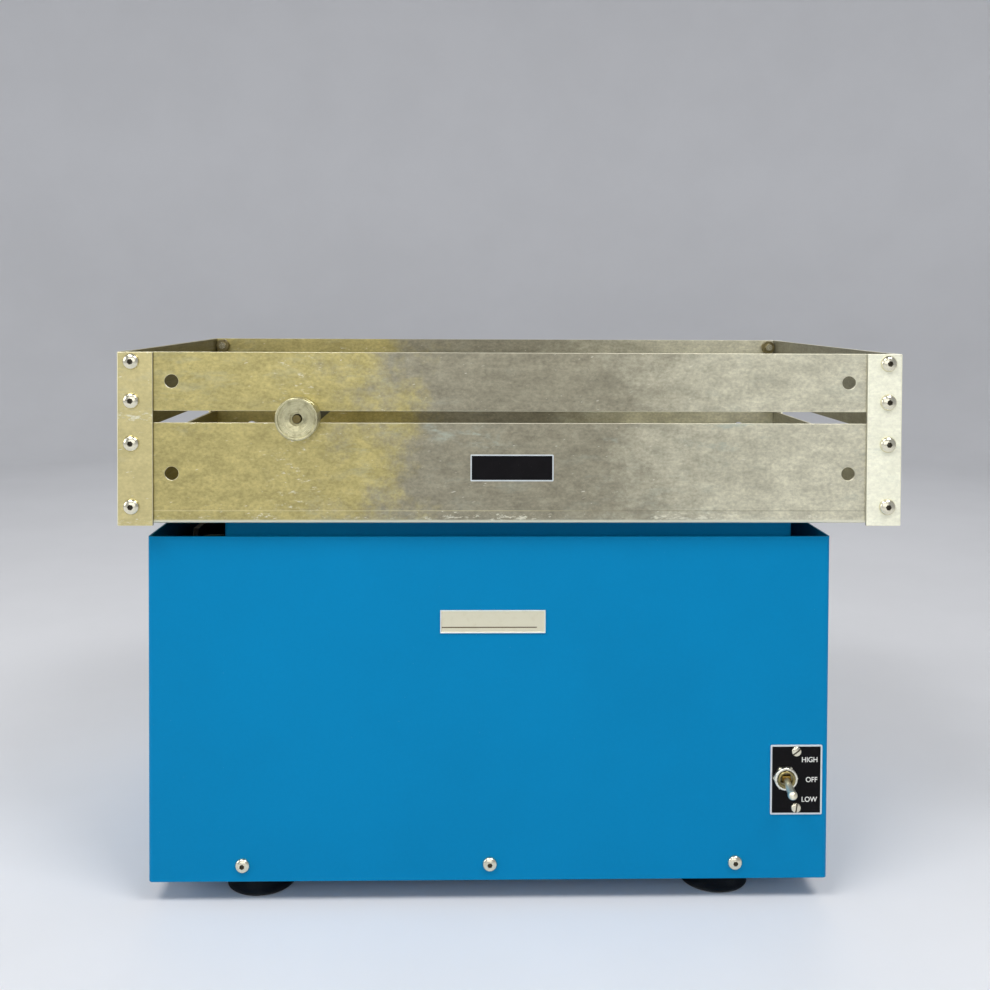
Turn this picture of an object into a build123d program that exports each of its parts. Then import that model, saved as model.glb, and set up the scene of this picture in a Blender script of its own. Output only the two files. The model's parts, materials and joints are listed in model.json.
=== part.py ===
from build123d import *

# Reciprocating laboratory shaker: a two-speed motor drives a crank through a belt, and the
# crank slides a carriage with a slotted aluminium box tray from side to side over an
# open-topped sheet-steel housing.
#
# Frame: millimetres, +Z up, +X to the right, the front faces -Y. The origin lies on the bench,
# under the middle of the tray as it stands at rest, with the crank part way round its turn.
# Pieces of the housing are drawn about the housing's own middle and then moved by place().

import math
import os

os.makedirs("parts", exist_ok=True)

# --- Fits -------------------------------------------------------------------------------------
GAP = 0.3  # between pieces that move past each other
RUNNING_FIT = 0.05  # radial, a shaft in its bush
SCREW_PLAY = 0.3  # radial, a clearance hole round a screw

# --- Flat sides in place of turned ones --------------------------------------------------------
THREAD_SIDES = 6  # threads and the holes for them
HEAD_SIDES = 8
SHAFT_SIDES = 16  # they turn in round bearings and bushes
BUSH_SIDES = 12  # small turned pieces and the seats of bushes
FOOT_SIDES = 18
KNOB_SIDES = 16
PULLEY_SIDES = 24

# --- Housing ----------------------------------------------------------------------------------
HOUSING_WIDTH = 470.0
HOUSING_DEPTH = 280.0
HOUSING_HEIGHT = 239.0
HOUSING_SHEET = 1.5
HOUSING_BEND = 3.0  # outer radius of the upright corners
PAN_SHEET = 2.0
PAN_FLANGE = 24.0
FOOT_HEIGHT = 16.0
FOOT_RADIUS = 24.0
FOOT_LIP = 3.0
FOOT_STEM_RADIUS = 12.0
FOOT_RIM = 1.6  # thickness at the lip
FOOT_SHOULDER = 9.0  # where the skirt meets the stem
FOOT_CUP_DEPTH = 4.0
FOOT_INSET_X = 72.0
FOOT_INSET_Y = 35.0
SIDE_SCREW_SPACING = 170.5  # between the three screws along the bottom edge
SIDE_SCREW_RISE = 11.3
SIDE_SCREW_STAND = 5.0  # past the base pan's rim, which is tapped
SIDE_SCREW_HEAD_RADIUS = 5.1
SIDE_SCREW_HEAD = 2.8
SIDE_SCREW_RADIUS = 2.5
FOOT_STUD_RADIUS = 4.0
FOOT_STUD_SUNK = 8.0
FOOT_STUD_STAND = 9.0
FOOT_NUT_FLATS = 13.0
FOOT_NUT_THICKNESS = 6.5
GLAND_X = 170.0
GLAND_RISE = 45.0
GLAND_RADIUS = 8.0
GLAND_FLANGE_RADIUS = 12.0
GLAND_FLANGE = 3.0
GLAND_COLLAR = 6.0
GLAND_BORE = 3.5

# --- Badge and switch on the front panel ------------------------------------------------------
BADGE_WIDTH = 72.6
BADGE_HEIGHT = 16.0
BADGE_THICKNESS = 1.0
BADGE_DROP = 58.8  # its middle below the housing's top edge
BADGE_SHIFT = 1.4
SWITCH_PLATE_WIDTH = 36.2
SWITCH_PLATE_HEIGHT = 48.8
SWITCH_PLATE_THICKNESS = 0.8
SWITCH_PLATE_RIM = 1.1
SWITCH_PLATE_INSET = 22.4  # its middle from the housing's right side
SWITCH_PLATE_RISE = 69.4
SWITCH_SCREW_OFFSET = 19.7
SWITCH_SCREW_RADIUS = 1.75
SWITCH_SCREW_LENGTH = 6.0
SWITCH_SCREW_HEAD_RADIUS = 3.5
SWITCH_SCREW_HEAD = 1.8
SWITCH_BODY_WIDTH = 17.0
SWITCH_BODY_HEIGHT = 29.0
SWITCH_BODY_DEPTH = 22.0
TERMINAL_PITCH = 9.0
TERMINAL_LENGTH = 8.0
BUSHING_SHIFT_X = -7.9  # bushing from the middle of the plate
BUSHING_SHIFT_Z = 1.6
BUSHING_RADIUS = 5.95
BUSHING_BORE = 4.35
BUSHING_LENGTH = 7.0  # from the back of the panel
HEX_NUT_FLATS = 15.1
DRESS_NUT_RADIUS = 8.1
SWITCH_NUT_THICKNESS = 2.0
LEVER_BARREL_RADIUS = 3.0
LEVER_BARREL_WIDTH = 5.0
LEVER_LENGTH = 20.0  # from the pivot
LEVER_TIP_RADIUS = 3.25
LEVER_NECK_RADIUS = 1.8
LEVER_REST_ANGLE = 16.0  # below level, the LOW position

# --- Carriage and its guides ------------------------------------------------------------------
CARRIAGE_RISE = 10.6  # platform top above the housing's top edge
PLATFORM_END_INSET = 35.0  # from the housing's ends
PLATFORM_FRONT_INSET = 18.0
PLATFORM_SHEET = 3.0
PLATFORM_BEND = 4.0  # outer radius of its upright corners
PLATFORM_SKIRT = 30.6
ROD_RADIUS = 8.0
ROD_SPAN_Y = 160.0
ROD_DROP = 26.6  # guide rod axis below the platform's underside
BLOCK_INSET = 70.0  # a block's middle from the platform's end
BLOCK_WIDTH = 45.0
BLOCK_DEPTH = 44.0
BLOCK_WALL = 4.0  # under the linear bushing
LINEAR_BUSH_RADIUS = 13.0
LINEAR_BUSH_LENGTH = 36.0
END_FRAME_INSET = 23.0  # inner face from the housing's end
END_FRAME_SHEET = 4.0
END_FRAME_MARGIN = 20.0  # beyond the guide rods' axes
END_FRAME_FOOT = 18.0
END_FRAME_ABOVE_ROD = 14.0
END_FRAME_SHOULDER = 22.0
END_FRAME_BORDER = 35.0  # beside the window
ROD_SCREW_RADIUS = 4.0
ROD_SCREW_SUNK = 18.0
ROD_SCREW_HEAD_RADIUS = 6.5
ROD_SCREW_HEAD = 5.0

# --- Crank, connecting rod and belt drive -----------------------------------------------------
CRANK_RADIUS = 19.05  # a stroke of 38.1
CRANK_REST_ANGLE = 41.5  # crank pin from +X at rest
CONNECTING_ROD_LENGTH = 110.0
CONNECTING_ROD_THICKNESS = 10.0
ROD_EYE_RADIUS = 17.0
ROD_SHANK_WIDTH = 18.0
ROD_POCKET = 2.5
ROD_BUSH_RADIUS = 9.0
PIN_RADIUS = 6.0
OPEN_PIVOT_GAP = 0.5  # crank pin's end below the connecting rod
WRIST_BLOCK_SIZE = 44.0
WRIST_BLOCK_HEIGHT = 40.6
WRIST_BLOCK_GAP = 3.5  # connecting rod below the wrist block
WRIST_HEAD_RADIUS = 9.0
WRIST_HEAD_THICKNESS = 4.0
WRIST_THREAD = 22.0
CRANK_DISC_RADIUS = 32.0
CRANK_DISC_THICKNESS = 6.0
CRANK_PIN_STAND = 6.0
CRANK_SHAFT_RADIUS = 8.5
PULLEY_RADIUS = 95.0
PULLEY_WIDTH = 18.0
PULLEY_WEB = 6.0
PULLEY_RIM = 15.0
PULLEY_HUB_RADIUS = 22.0
PULLEY_WINDOWS = 5
MOTOR_PULLEY_RADIUS = 18.0
BELT_WIDTH = 9.5
BELT_DEPTH = 5.6
BELT_SUNK = 0.5  # belt's back below the pulley's rim
BELT_HALF_ANGLE = 18.0
GROOVE_DEPTH = 7.0
BEARING_RADIUS = 20.0
BEARING_WIDTH = 12.0
PEDESTAL_FLANGE_SIZE = 104.0
PEDESTAL_RIB_RISE = 62.0
PEDESTAL_FLANGE = 10.0
PEDESTAL_NECK_RADIUS = 30.0
RIB_THICKNESS = 7.0

# --- Motor ------------------------------------------------------------------------------------
MOTOR_INSET = 100.0  # motor shaft from the housing's end
MOTOR_SIZE = 118.0  # across the square lamination stack
MOTOR_CORNER = 22.0  # its cut corners
MOTOR_BELL_STEP = 3.0  # end bells inside the stack's outline
MOTOR_BELL_CHAMFER = 9.0
MOTOR_BELL_HEIGHT = 36.0
MOTOR_STATOR_HEIGHT = 70.0
MOTOR_SHAFT_RADIUS = 6.35
MOTOR_PLATE_SIZE = 140.0
MOTOR_PLATE_SHEET = 4.0
ROTOR_RADIUS = 30.0
MOTOR_SLOT_WIDTH = 6.8
ROTOR_GAP = 1.5
MOTOR_PLATE_BOLT_INSET = 9.0

# --- Tray -------------------------------------------------------------------------------------
TRAY_LENGTH = 531.0  # over the corner brackets
TRAY_DEPTH = 305.0
TRAY_HEIGHT = 116.2
TRAY_WALL = 2.0
TRAY_BEND = 4.5
TRAY_CORNER_GAP = 0.8  # between the folded walls
FRONT_RAIL_HEIGHT = 39.75
FRONT_SLOT = 7.94
SIDE_RAIL_HEIGHT = 57.15
SIDE_SLOT = 9.53
BRACKET_LEG = 24.0
BRACKET_SHEET = 2.0
BRACKET_OVERHANG = 1.0  # below the tray's floor
BRACKET_SCREW_INSET = 9.7
BRACKET_SCREW_DROPS = (6.5, 32.9, 61.6, 104.2)
ACCESSORY_HOLE_RADIUS = 4.6
ACCESSORY_HOLE_INSET = 36.0
ACCESSORY_HOLE_DROPS = (19.8, 82.0)
TRAY_SCREW_RADIUS = 3.175
TRAY_SCREW_HEAD_RADIUS = 5.55
TRAY_SCREW_HEAD = 3.4
TRAY_SCREW_LENGTH = 11.1
FLOOR_SCREW_LENGTH = 12.0
TRAY_NUT_FLATS = 11.1
TRAY_NUT_THICKNESS = 5.5
FLOOR_SCREW_CLEAR = 17.5  # outwards from a carriage block
FLOOR_SCREW_Y = 95.0
LABEL_WIDTH = 56.4
LABEL_HEIGHT = 18.2
LABEL_THICKNESS = 0.6
LABEL_DROP = 78.0

# --- Crossbar and its knobs -------------------------------------------------------------------
CROSSBAR_INSET = 122.0  # its middle from the tray's left end
CROSSBAR_WIDTH = 12.7
CROSSBAR_HEIGHT = 17.5
STUD_DEPTH = 20.0
KNOB_RADIUS = 14.3
KNOB_THICKNESS = 16.5
KNOB_RECESS_RADIUS = 4.0
KNOB_RECESS_DEPTH = 3.0

# --- Places worked out from the sizes above ---------------------------------------------------
rest_angle = math.radians(CRANK_REST_ANGLE)
crank_pin_x = CRANK_RADIUS * math.cos(rest_angle)
crank_pin_y = CRANK_RADIUS * math.sin(rest_angle)
rod_swing_rest = math.asin(crank_pin_y / CONNECTING_ROD_LENGTH)
# How far right of its mid-stroke the carriage stands while the crank pin is at its rest angle.
rest_offset = crank_pin_x + CONNECTING_ROD_LENGTH * math.cos(rod_swing_rest) - CONNECTING_ROD_LENGTH
housing_x = -rest_offset

housing_front = -HOUSING_DEPTH / 2
housing_top = FOOT_HEIGHT + HOUSING_HEIGHT
pan_top = FOOT_HEIGHT + PAN_SHEET

platform_top = housing_top + CARRIAGE_RISE
platform_underside = platform_top - PLATFORM_SHEET
guide_z = platform_underside - ROD_DROP
block_bottom = guide_z - LINEAR_BUSH_RADIUS - BLOCK_WALL

tray_floor = platform_top + TRAY_WALL
tray_top = platform_top + TRAY_HEIGHT
tray_wall_x = TRAY_LENGTH / 2 - BRACKET_SHEET  # outer faces of the folded walls
tray_wall_y = TRAY_DEPTH / 2 - BRACKET_SHEET
tray_inner_x = tray_wall_x - TRAY_WALL
tray_inner_y = tray_wall_y - TRAY_WALL
front_slot_top = tray_top - FRONT_RAIL_HEIGHT
front_slot_z = front_slot_top - FRONT_SLOT / 2
front_wall_top = front_slot_top - FRONT_SLOT
side_wall_top = tray_top - SIDE_RAIL_HEIGHT - SIDE_SLOT

# Heights in the drive, from the wrist block down to the motor pulley.
wrist_block_bottom = platform_underside - WRIST_BLOCK_HEIGHT
connecting_rod_top = wrist_block_bottom - WRIST_BLOCK_GAP
connecting_rod_bottom = connecting_rod_top - CONNECTING_ROD_THICKNESS
crank_pin_top = connecting_rod_bottom - OPEN_PIVOT_GAP
crank_disc_top = crank_pin_top - CRANK_PIN_STAND
pulley_top = crank_disc_top - CRANK_DISC_THICKNESS
pulley_bottom = pulley_top - PULLEY_WIDTH
belt_z = pulley_top - PULLEY_WIDTH / 2
pedestal_top = pulley_bottom - BEARING_WIDTH
motor_plate_top = pan_top + MOTOR_PLATE_SHEET
stator_bottom = motor_plate_top + MOTOR_BELL_HEIGHT
stator_top = stator_bottom + MOTOR_STATOR_HEIGHT
platform_width = HOUSING_WIDTH - 2 * PLATFORM_END_INSET
block_x = platform_width / 2 - BLOCK_INSET
end_frame_x = HOUSING_WIDTH / 2 - END_FRAME_INSET
end_frame_width = ROD_SPAN_Y + 2 * END_FRAME_MARGIN
crank_x = -CONNECTING_ROD_LENGTH  # crank shaft from the housing's middle
motor_x = HOUSING_WIDTH / 2 - MOTOR_INSET
shaft_span = motor_x - crank_x

switch_plate_x = HOUSING_WIDTH / 2 - SWITCH_PLATE_INSET
switch_plate_z = FOOT_HEIGHT + SWITCH_PLATE_RISE
bushing_x = switch_plate_x + BUSHING_SHIFT_X
bushing_z = switch_plate_z + BUSHING_SHIFT_Z
panel_back = housing_front + HOUSING_SHEET
bushing_mouth = panel_back - BUSHING_LENGTH
lever_pivot_y = bushing_mouth + 3.0

crossbar_x = -TRAY_LENGTH / 2 + CROSSBAR_INSET
knob_face = tray_wall_y + GAP

# Turns that point a piece drawn along +Z to the front, rear, left or right.
FRONT = Rot(90, 0, 0)
REAR = Rot(-90, 0, 0)
LEFT = Rot(0, -90, 0)
RIGHT = Rot(0, 90, 0)
BELOW = Rot(180, 0, 0)

CORNERS = [(sx, sy) for sx in (-1, 1) for sy in (-1, 1)]
UP_FROM = (Align.CENTER, Align.CENTER, Align.MIN)


def place(shape):
    """Moves a piece from the housing's own middle to its place in the shared frame."""
    return Pos(housing_x, 0, 0) * shape


def group(shapes):
    """Like pieces that share one node, each still its own solid."""
    return Compound([solid for shape in shapes for solid in shape.solids()])


def turned(points):
    """A turned piece about Z, from its half outline as (radius, height) points."""
    return revolve(Plane.XZ * Polygon(*points, align=None), Axis.Z)


def rod(radius, low, high):
    """A round bar about Z between two heights."""
    return Pos(0, 0, low) * Cylinder(radius, high - low, align=UP_FROM)


def prism(radius, sides, low, high):
    """A flat-sided bar about Z between two heights."""
    return Pos(0, 0, low) * extrude(RegularPolygon(radius, sides), high - low)


def thread(radius, low, high):
    """A screw's shank, or the hole for one."""
    return prism(radius, THREAD_SIDES, low, high)


def flat_sided(outline, sides):
    """A turned piece drawn with flat sides, from (radius, height) points that rise along its axis."""
    angles = [2 * math.pi * side / sides for side in range(sides)]
    ring = [Vector(math.cos(angle), math.sin(angle), 0) for angle in angles]
    rings = [[corner * radius + Vector(0, 0, height) for corner in ring] for radius, height in outline]
    faces = [Face(Wire.make_polygon(end)) for end in (rings[0], rings[-1])]
    for lower, upper in zip(rings, rings[1:]):
        for side in range(sides):
            corners = [lower[side - 1], lower[side], upper[side], upper[side - 1]]
            faces.append(Face(Wire.make_polygon(corners)))
    return Solid(Shell(faces))


def bush(outer, inner, low, high):
    """A bush about Z: round inside, flat-sided where it is pressed in."""
    return prism(outer, BUSH_SIDES, low, high) - rod(inner, low, high)


def block(x, y, z):
    """A box between pairs of low and high coordinates."""
    middle = Pos((x[0] + x[1]) / 2, (y[0] + y[1]) / 2, (z[0] + z[1]) / 2)
    return middle * Box(x[1] - x[0], y[1] - y[0], z[1] - z[0])


def hex_bar(flats, low, high):
    """A hexagonal bar about Z, with flats across X."""
    outline = Rot(0, 0, 30) * RegularPolygon(flats / 2, 6, major_radius=False)
    return Pos(0, 0, low) * extrude(outline, high - low)


def hex_nut(flats, thickness, bore):
    return hex_bar(flats, 0, thickness) - thread(bore, 0, thickness)


def button_screw(radius, length, head_radius, head):
    """A button-head screw: the head stands on Z = 0, the shank below."""
    crown = flat_sided([(head_radius, 0), (0.6 * head_radius, head)], HEAD_SIDES)
    return crown + thread(radius, -length, 0)


def flat_screw(radius, length, head_radius, head):
    """A countersunk screw whose head lies flush with Z = 0."""
    return flat_sided([(radius, -length), (radius, -head), (head_radius, 0)], THREAD_SIDES)


# --- Housing ----------------------------------------------------------------------------------
def side_screw_seats():
    """Where the housing is screwed to the base pan, front and rear: place and direction."""
    z = FOOT_HEIGHT + SIDE_SCREW_RISE
    for turn, side in ((FRONT, -1), (REAR, 1)):
        for step in (-1, 0, 1):
            yield Pos(step * SIDE_SCREW_SPACING, side * HOUSING_DEPTH / 2, z) * turn


def housing_shell():
    outline = RectangleRounded(HOUSING_WIDTH, HOUSING_DEPTH, HOUSING_BEND)
    outline -= RectangleRounded(
        HOUSING_WIDTH - 2 * HOUSING_SHEET, HOUSING_DEPTH - 2 * HOUSING_SHEET,
        HOUSING_BEND - HOUSING_SHEET,
    )
    shell = Pos(0, 0, FOOT_HEIGHT) * extrude(outline, HOUSING_HEIGHT)
    drill = thread(SIDE_SCREW_RADIUS + SCREW_PLAY, -3 * HOUSING_SHEET, HOUSING_SHEET)
    for seat in side_screw_seats():
        shell -= seat * drill
    panel_drill = FRONT * prism(BUSHING_RADIUS + SCREW_PLAY, BUSH_SIDES, -3 * HOUSING_SHEET, HOUSING_SHEET)
    shell -= Pos(bushing_x, housing_front, bushing_z) * panel_drill
    for side in (-1, 1):
        z = switch_plate_z + side * SWITCH_SCREW_OFFSET
        pilot = FRONT * thread(SWITCH_SCREW_RADIUS, -3 * HOUSING_SHEET, HOUSING_SHEET)
        shell -= Pos(switch_plate_x, housing_front, z) * pilot
    gland_hole = REAR * prism(GLAND_RADIUS, BUSH_SIDES, -3 * HOUSING_SHEET, HOUSING_SHEET)
    shell -= Pos(GLAND_X, -housing_front, FOOT_HEIGHT + GLAND_RISE) * gland_hole
    return shell


def foot_places():
    for sx, sy in CORNERS:
        yield Pos(sx * (HOUSING_WIDTH / 2 - FOOT_INSET_X), sy * (HOUSING_DEPTH / 2 - FOOT_INSET_Y), 0)


def base_pan():
    """Folded floor of the housing: it slips inside the shell, with its rim upwards."""
    half_x = HOUSING_WIDTH / 2 - HOUSING_SHEET
    half_y = HOUSING_DEPTH / 2 - HOUSING_SHEET
    rim_top = FOOT_HEIGHT + PAN_FLANGE
    pan = block((-half_x, half_x), (-half_y, half_y), (FOOT_HEIGHT, rim_top))
    inner_x, inner_y = half_x - PAN_SHEET, half_y - PAN_SHEET
    pan -= block((-inner_x, inner_x), (-inner_y, inner_y), (pan_top, rim_top))
    # The folded rim is open at its four corners.
    relief = Box(3 * PAN_SHEET, 3 * PAN_SHEET, 2 * PAN_FLANGE)
    for sx, sy in CORNERS:
        pan -= Pos(sx * half_x, sy * half_y, pan_top) * relief
    for seat in side_screw_seats():
        pan -= seat * thread(SIDE_SCREW_RADIUS, -4 * PAN_SHEET, 0)
    for foot_place in foot_places():
        pan -= foot_place * thread(FOOT_STUD_RADIUS, 0, 2 * FOOT_HEIGHT)
    return pan


def foot():
    """A rubber suction foot: a thin-lipped cup under a stem."""
    body = flat_sided([
        (FOOT_RADIUS, 0), (FOOT_RADIUS, FOOT_RIM), (FOOT_STEM_RADIUS, FOOT_SHOULDER),
        (FOOT_STEM_RADIUS, FOOT_HEIGHT),
    ], FOOT_SIDES)
    cup = flat_sided([(FOOT_RADIUS - FOOT_LIP, 0), (FOOT_STEM_RADIUS, FOOT_CUP_DEPTH)], FOOT_SIDES)
    return body - cup - thread(FOOT_STUD_RADIUS, FOOT_STUD_SUNK, FOOT_HEIGHT)


def cord_gland():
    """The bushing in the rear wall that the mains lead would pass through."""
    inside = -HOUSING_SHEET - GLAND_COLLAR
    collar_radius = GLAND_FLANGE_RADIUS - 2
    bushing = flat_sided([
        (collar_radius, inside), (collar_radius, -HOUSING_SHEET), (GLAND_RADIUS, -HOUSING_SHEET),
        (GLAND_RADIUS, 0), (GLAND_FLANGE_RADIUS, 0), (GLAND_FLANGE_RADIUS - 1, GLAND_FLANGE),
    ], BUSH_SIDES)
    bushing -= prism(GLAND_BORE, BUSH_SIDES, inside, GLAND_FLANGE)
    return Pos(GLAND_X, -housing_front, FOOT_HEIGHT + GLAND_RISE) * REAR * bushing


# --- Badge and label --------------------------------------------------------------------------
def framed_plate(width, height, thickness, rim):
    """A thin plate with a raised rim, its back on Z = 0."""
    field = extrude(Rectangle(width - 2 * rim, height - 2 * rim), thickness)
    return extrude(Rectangle(width, height), thickness) - Pos(0, 0, 0.6 * thickness) * field


# --- Switch -----------------------------------------------------------------------------------
def switch_plate():
    thickness = SWITCH_PLATE_THICKNESS
    plate = framed_plate(SWITCH_PLATE_WIDTH, SWITCH_PLATE_HEIGHT, thickness, SWITCH_PLATE_RIM)
    plate = Pos(switch_plate_x, housing_front, switch_plate_z) * FRONT * plate
    drill = FRONT * prism(BUSHING_RADIUS + SCREW_PLAY, BUSH_SIDES, -1, 2)
    plate -= Pos(bushing_x, housing_front, bushing_z) * drill
    pilot = FRONT * thread(SWITCH_SCREW_RADIUS + SCREW_PLAY, -1, 2)
    for side in (-1, 1):
        plate -= Pos(switch_plate_x, housing_front, switch_plate_z + side * SWITCH_SCREW_OFFSET) * pilot
    return plate


def switch_body():
    """Toggle switch: moulded case, threaded bushing through the panel, three blade terminals."""
    switch = BELOW * Box(SWITCH_BODY_WIDTH, SWITCH_BODY_HEIGHT, SWITCH_BODY_DEPTH, align=UP_FROM)
    switch += prism(BUSHING_RADIUS, BUSH_SIDES, -0.5, BUSHING_LENGTH)
    for step in (-1, 0, 1):
        blade = Box(0.8 * BUSHING_RADIUS, 0.8, TERMINAL_LENGTH + 1, align=UP_FROM)
        switch += Pos(0, step * TERMINAL_PITCH, -SWITCH_BODY_DEPTH - TERMINAL_LENGTH) * blade
    bore_depth = LEVER_BARREL_RADIUS + GAP + (lever_pivot_y - bushing_mouth)
    switch -= prism(BUSHING_BORE, BUSH_SIDES, BUSHING_LENGTH - bore_depth, BUSHING_LENGTH)
    return Pos(bushing_x, panel_back, bushing_z) * FRONT * switch


def switch_nuts():
    """The hexagon nut on the plate and the round dress nut on it."""
    plate_field = housing_front - 0.6 * SWITCH_PLATE_THICKNESS
    seat = Pos(bushing_x, plate_field, bushing_z) * FRONT
    middle, top = SWITCH_NUT_THICKNESS, 2 * SWITCH_NUT_THICKNESS
    bore = prism(BUSHING_RADIUS, BUSH_SIDES, 0, top)
    hexagon = Rot(0, 0, 90) * hex_bar(HEX_NUT_FLATS, 0, middle)
    edge = DRESS_NUT_RADIUS - 0.6
    dress = flat_sided([(DRESS_NUT_RADIUS, middle), (DRESS_NUT_RADIUS, top - 0.6), (edge, top)], BUSH_SIDES)
    return seat * (hexagon - bore), seat * (dress - bore)


def switch_lever():
    """Bat lever: a barrel across the pivot, a thin neck and a rounded tip."""
    neck, tip = LEVER_NECK_RADIUS, LEVER_TIP_RADIUS
    bat = flat_sided([
        (neck, 0), (neck, 4.5), (tip, LEVER_LENGTH - 0.9 * tip), (0.86 * tip, LEVER_LENGTH - 0.35 * tip),
        (0.45 * tip, LEVER_LENGTH),
    ], HEAD_SIDES)
    barrel = RIGHT * rod(LEVER_BARREL_RADIUS, -LEVER_BARREL_WIDTH / 2, LEVER_BARREL_WIDTH / 2)
    return Pos(bushing_x, lever_pivot_y, bushing_z) * Rot(LEVER_REST_ANGLE, 0, 0) * (FRONT * bat + barrel)


# --- Guides -----------------------------------------------------------------------------------
def end_frame(side):
    """An upright that carries one end of both guide rods: a folded plate with a window."""
    top = guide_z + END_FRAME_ABOVE_ROD
    half = end_frame_width / 2
    middle_z = (pan_top + top) / 2
    slope = half - 14
    outline = Polygon(
        (-half, pan_top), (half, pan_top), (half, top - END_FRAME_SHOULDER), (slope, top),
        (-slope, top), (-half, top - END_FRAME_SHOULDER), align=None,
    )
    window_height = top - pan_top - 2.4 * END_FRAME_BORDER
    window = RectangleRounded(end_frame_width - 2 * END_FRAME_BORDER, window_height, 14)
    outline -= Pos(0, middle_z) * window
    for sy in (-1, 1):
        hole = Rot(0, 0, 90) * RegularPolygon(ROD_SCREW_RADIUS + SCREW_PLAY, THREAD_SIDES)
        outline -= Pos(sy * ROD_SPAN_Y / 2, guide_z) * hole
    plate = extrude(Plane.YZ * outline, END_FRAME_SHEET)
    foot_plate = block((0, END_FRAME_FOOT), (-half, half), (pan_top, pan_top + END_FRAME_SHEET))
    frame = Pos(end_frame_x, 0, 0) * (plate + foot_plate)
    return frame if side > 0 else mirror(frame, Plane.YZ)


def guide_rod(side):
    half = end_frame_x
    tapped = thread(ROD_SCREW_RADIUS, half - ROD_SCREW_SUNK, half)
    bar = rod(ROD_RADIUS, -half, half) - tapped - mirror(tapped, Plane.XY)
    return Pos(0, side * ROD_SPAN_Y / 2, guide_z) * RIGHT * bar


def rod_end_screws():
    length = END_FRAME_SHEET + ROD_SCREW_SUNK
    screw = button_screw(ROD_SCREW_RADIUS, length, ROD_SCREW_HEAD_RADIUS, ROD_SCREW_HEAD)
    seat = end_frame_x + END_FRAME_SHEET
    for sx, sy in CORNERS:
        turn = RIGHT if sx > 0 else LEFT
        yield Pos(sx * seat, sy * ROD_SPAN_Y / 2, guide_z) * turn * screw


# --- Crank pedestal ---------------------------------------------------------------------------
def bearing_pedestal():
    """Cast pedestal with a ball bearing seat at each end and four ribs on its square flange."""
    base = pan_top
    flange_top = base + PEDESTAL_FLANGE
    half = PEDESTAL_FLANGE_SIZE / 2
    body = block((-half, half), (-half, half), (base, flange_top))
    body += rod(PEDESTAL_NECK_RADIUS, base, pedestal_top)
    rib_foot = half - 4
    rib_outline = Polygon(
        (PEDESTAL_NECK_RADIUS - 4, flange_top - 2), (rib_foot, flange_top - 2),
        (rib_foot, flange_top + 4), (PEDESTAL_NECK_RADIUS - 4, flange_top + PEDESTAL_RIB_RISE), align=None,
    )
    rib = extrude(Plane.XZ * rib_outline, RIB_THICKNESS / 2, both=True)
    for quarter in range(4):
        body += Rot(0, 0, 90 * quarter) * rib
    body -= prism(BEARING_RADIUS, BUSH_SIDES, base, base + PEDESTAL_FLANGE + BEARING_WIDTH)
    body -= rod(BEARING_RADIUS - 3, base, pedestal_top)
    body -= prism(BEARING_RADIUS, BUSH_SIDES, pedestal_top - BEARING_WIDTH, pedestal_top)
    return Pos(crank_x, 0, 0) * body


def crank_bearings():
    low = pan_top + PEDESTAL_FLANGE
    for bottom in (low, pedestal_top - BEARING_WIDTH):
        bearing = bush(BEARING_RADIUS, CRANK_SHAFT_RADIUS + RUNNING_FIT, bottom, bottom + BEARING_WIDTH)
        yield Pos(crank_x, 0, 0) * bearing


# --- Crank ------------------------------------------------------------------------------------
def groove_outline(radius):
    """V-groove for the belt, as (radius, height) points about the belt's middle plane."""
    slope = math.tan(math.radians(BELT_HALF_ANGLE))
    side_gap = GAP / math.cos(math.radians(BELT_HALF_ANGLE))
    top = BELT_WIDTH / 2 + BELT_SUNK * slope + side_gap
    bottom = top - GROOVE_DEPTH * slope
    return [(radius, top), (radius - GROOVE_DEPTH, bottom), (radius - GROOVE_DEPTH, -bottom), (radius, -top)]


def crank_shaft():
    return prism(CRANK_SHAFT_RADIUS, SHAFT_SIDES, pan_top + 6, crank_disc_top)


def driven_pulley():
    """Cast V-pulley: a hub down to the bearing, a web with windows and a grooved rim."""
    half = PULLEY_WIDTH / 2
    rim = PULLEY_RADIUS - PULLEY_RIM
    hub_bottom = pedestal_top + GAP - belt_z
    pulley = flat_sided([
        (PULLEY_RADIUS, -half), *reversed(groove_outline(PULLEY_RADIUS)), (PULLEY_RADIUS, half),
    ], PULLEY_SIDES)
    pulley -= prism(rim, PULLEY_SIDES, PULLEY_WEB - half, half)
    pulley += prism(PULLEY_HUB_RADIUS, BUSH_SIDES, hub_bottom, half)
    window_radius = (rim - PULLEY_HUB_RADIUS) / 2 - 9
    window = Pos((rim + PULLEY_HUB_RADIUS) / 2, 0, 0) * prism(window_radius, HEAD_SIDES, -half, half)
    for step in range(PULLEY_WINDOWS):
        pulley -= Rot(0, 0, 360 / PULLEY_WINDOWS * step) * window
    return Pos(0, 0, belt_z) * (pulley - prism(CRANK_SHAFT_RADIUS, SHAFT_SIDES, hub_bottom, half))


def crank_disc():
    disc = prism(CRANK_DISC_RADIUS, PULLEY_SIDES, pulley_top, crank_disc_top)
    disc -= prism(CRANK_SHAFT_RADIUS, SHAFT_SIDES, pulley_top, crank_disc_top)
    pin_seat = prism(PIN_RADIUS, SHAFT_SIDES, pulley_top, crank_disc_top)
    return disc - Pos(crank_pin_x, crank_pin_y, 0) * pin_seat


def crank_pin():
    return Pos(crank_pin_x, crank_pin_y, 0) * prism(PIN_RADIUS, SHAFT_SIDES, pulley_top, crank_pin_top)


# --- Connecting rod ---------------------------------------------------------------------------
def lay_rod(shape):
    """Turns a piece drawn along -X from the wrist pin to the rod's angle at rest."""
    return Rot(0, 0, -math.degrees(rod_swing_rest)) * shape


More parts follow.
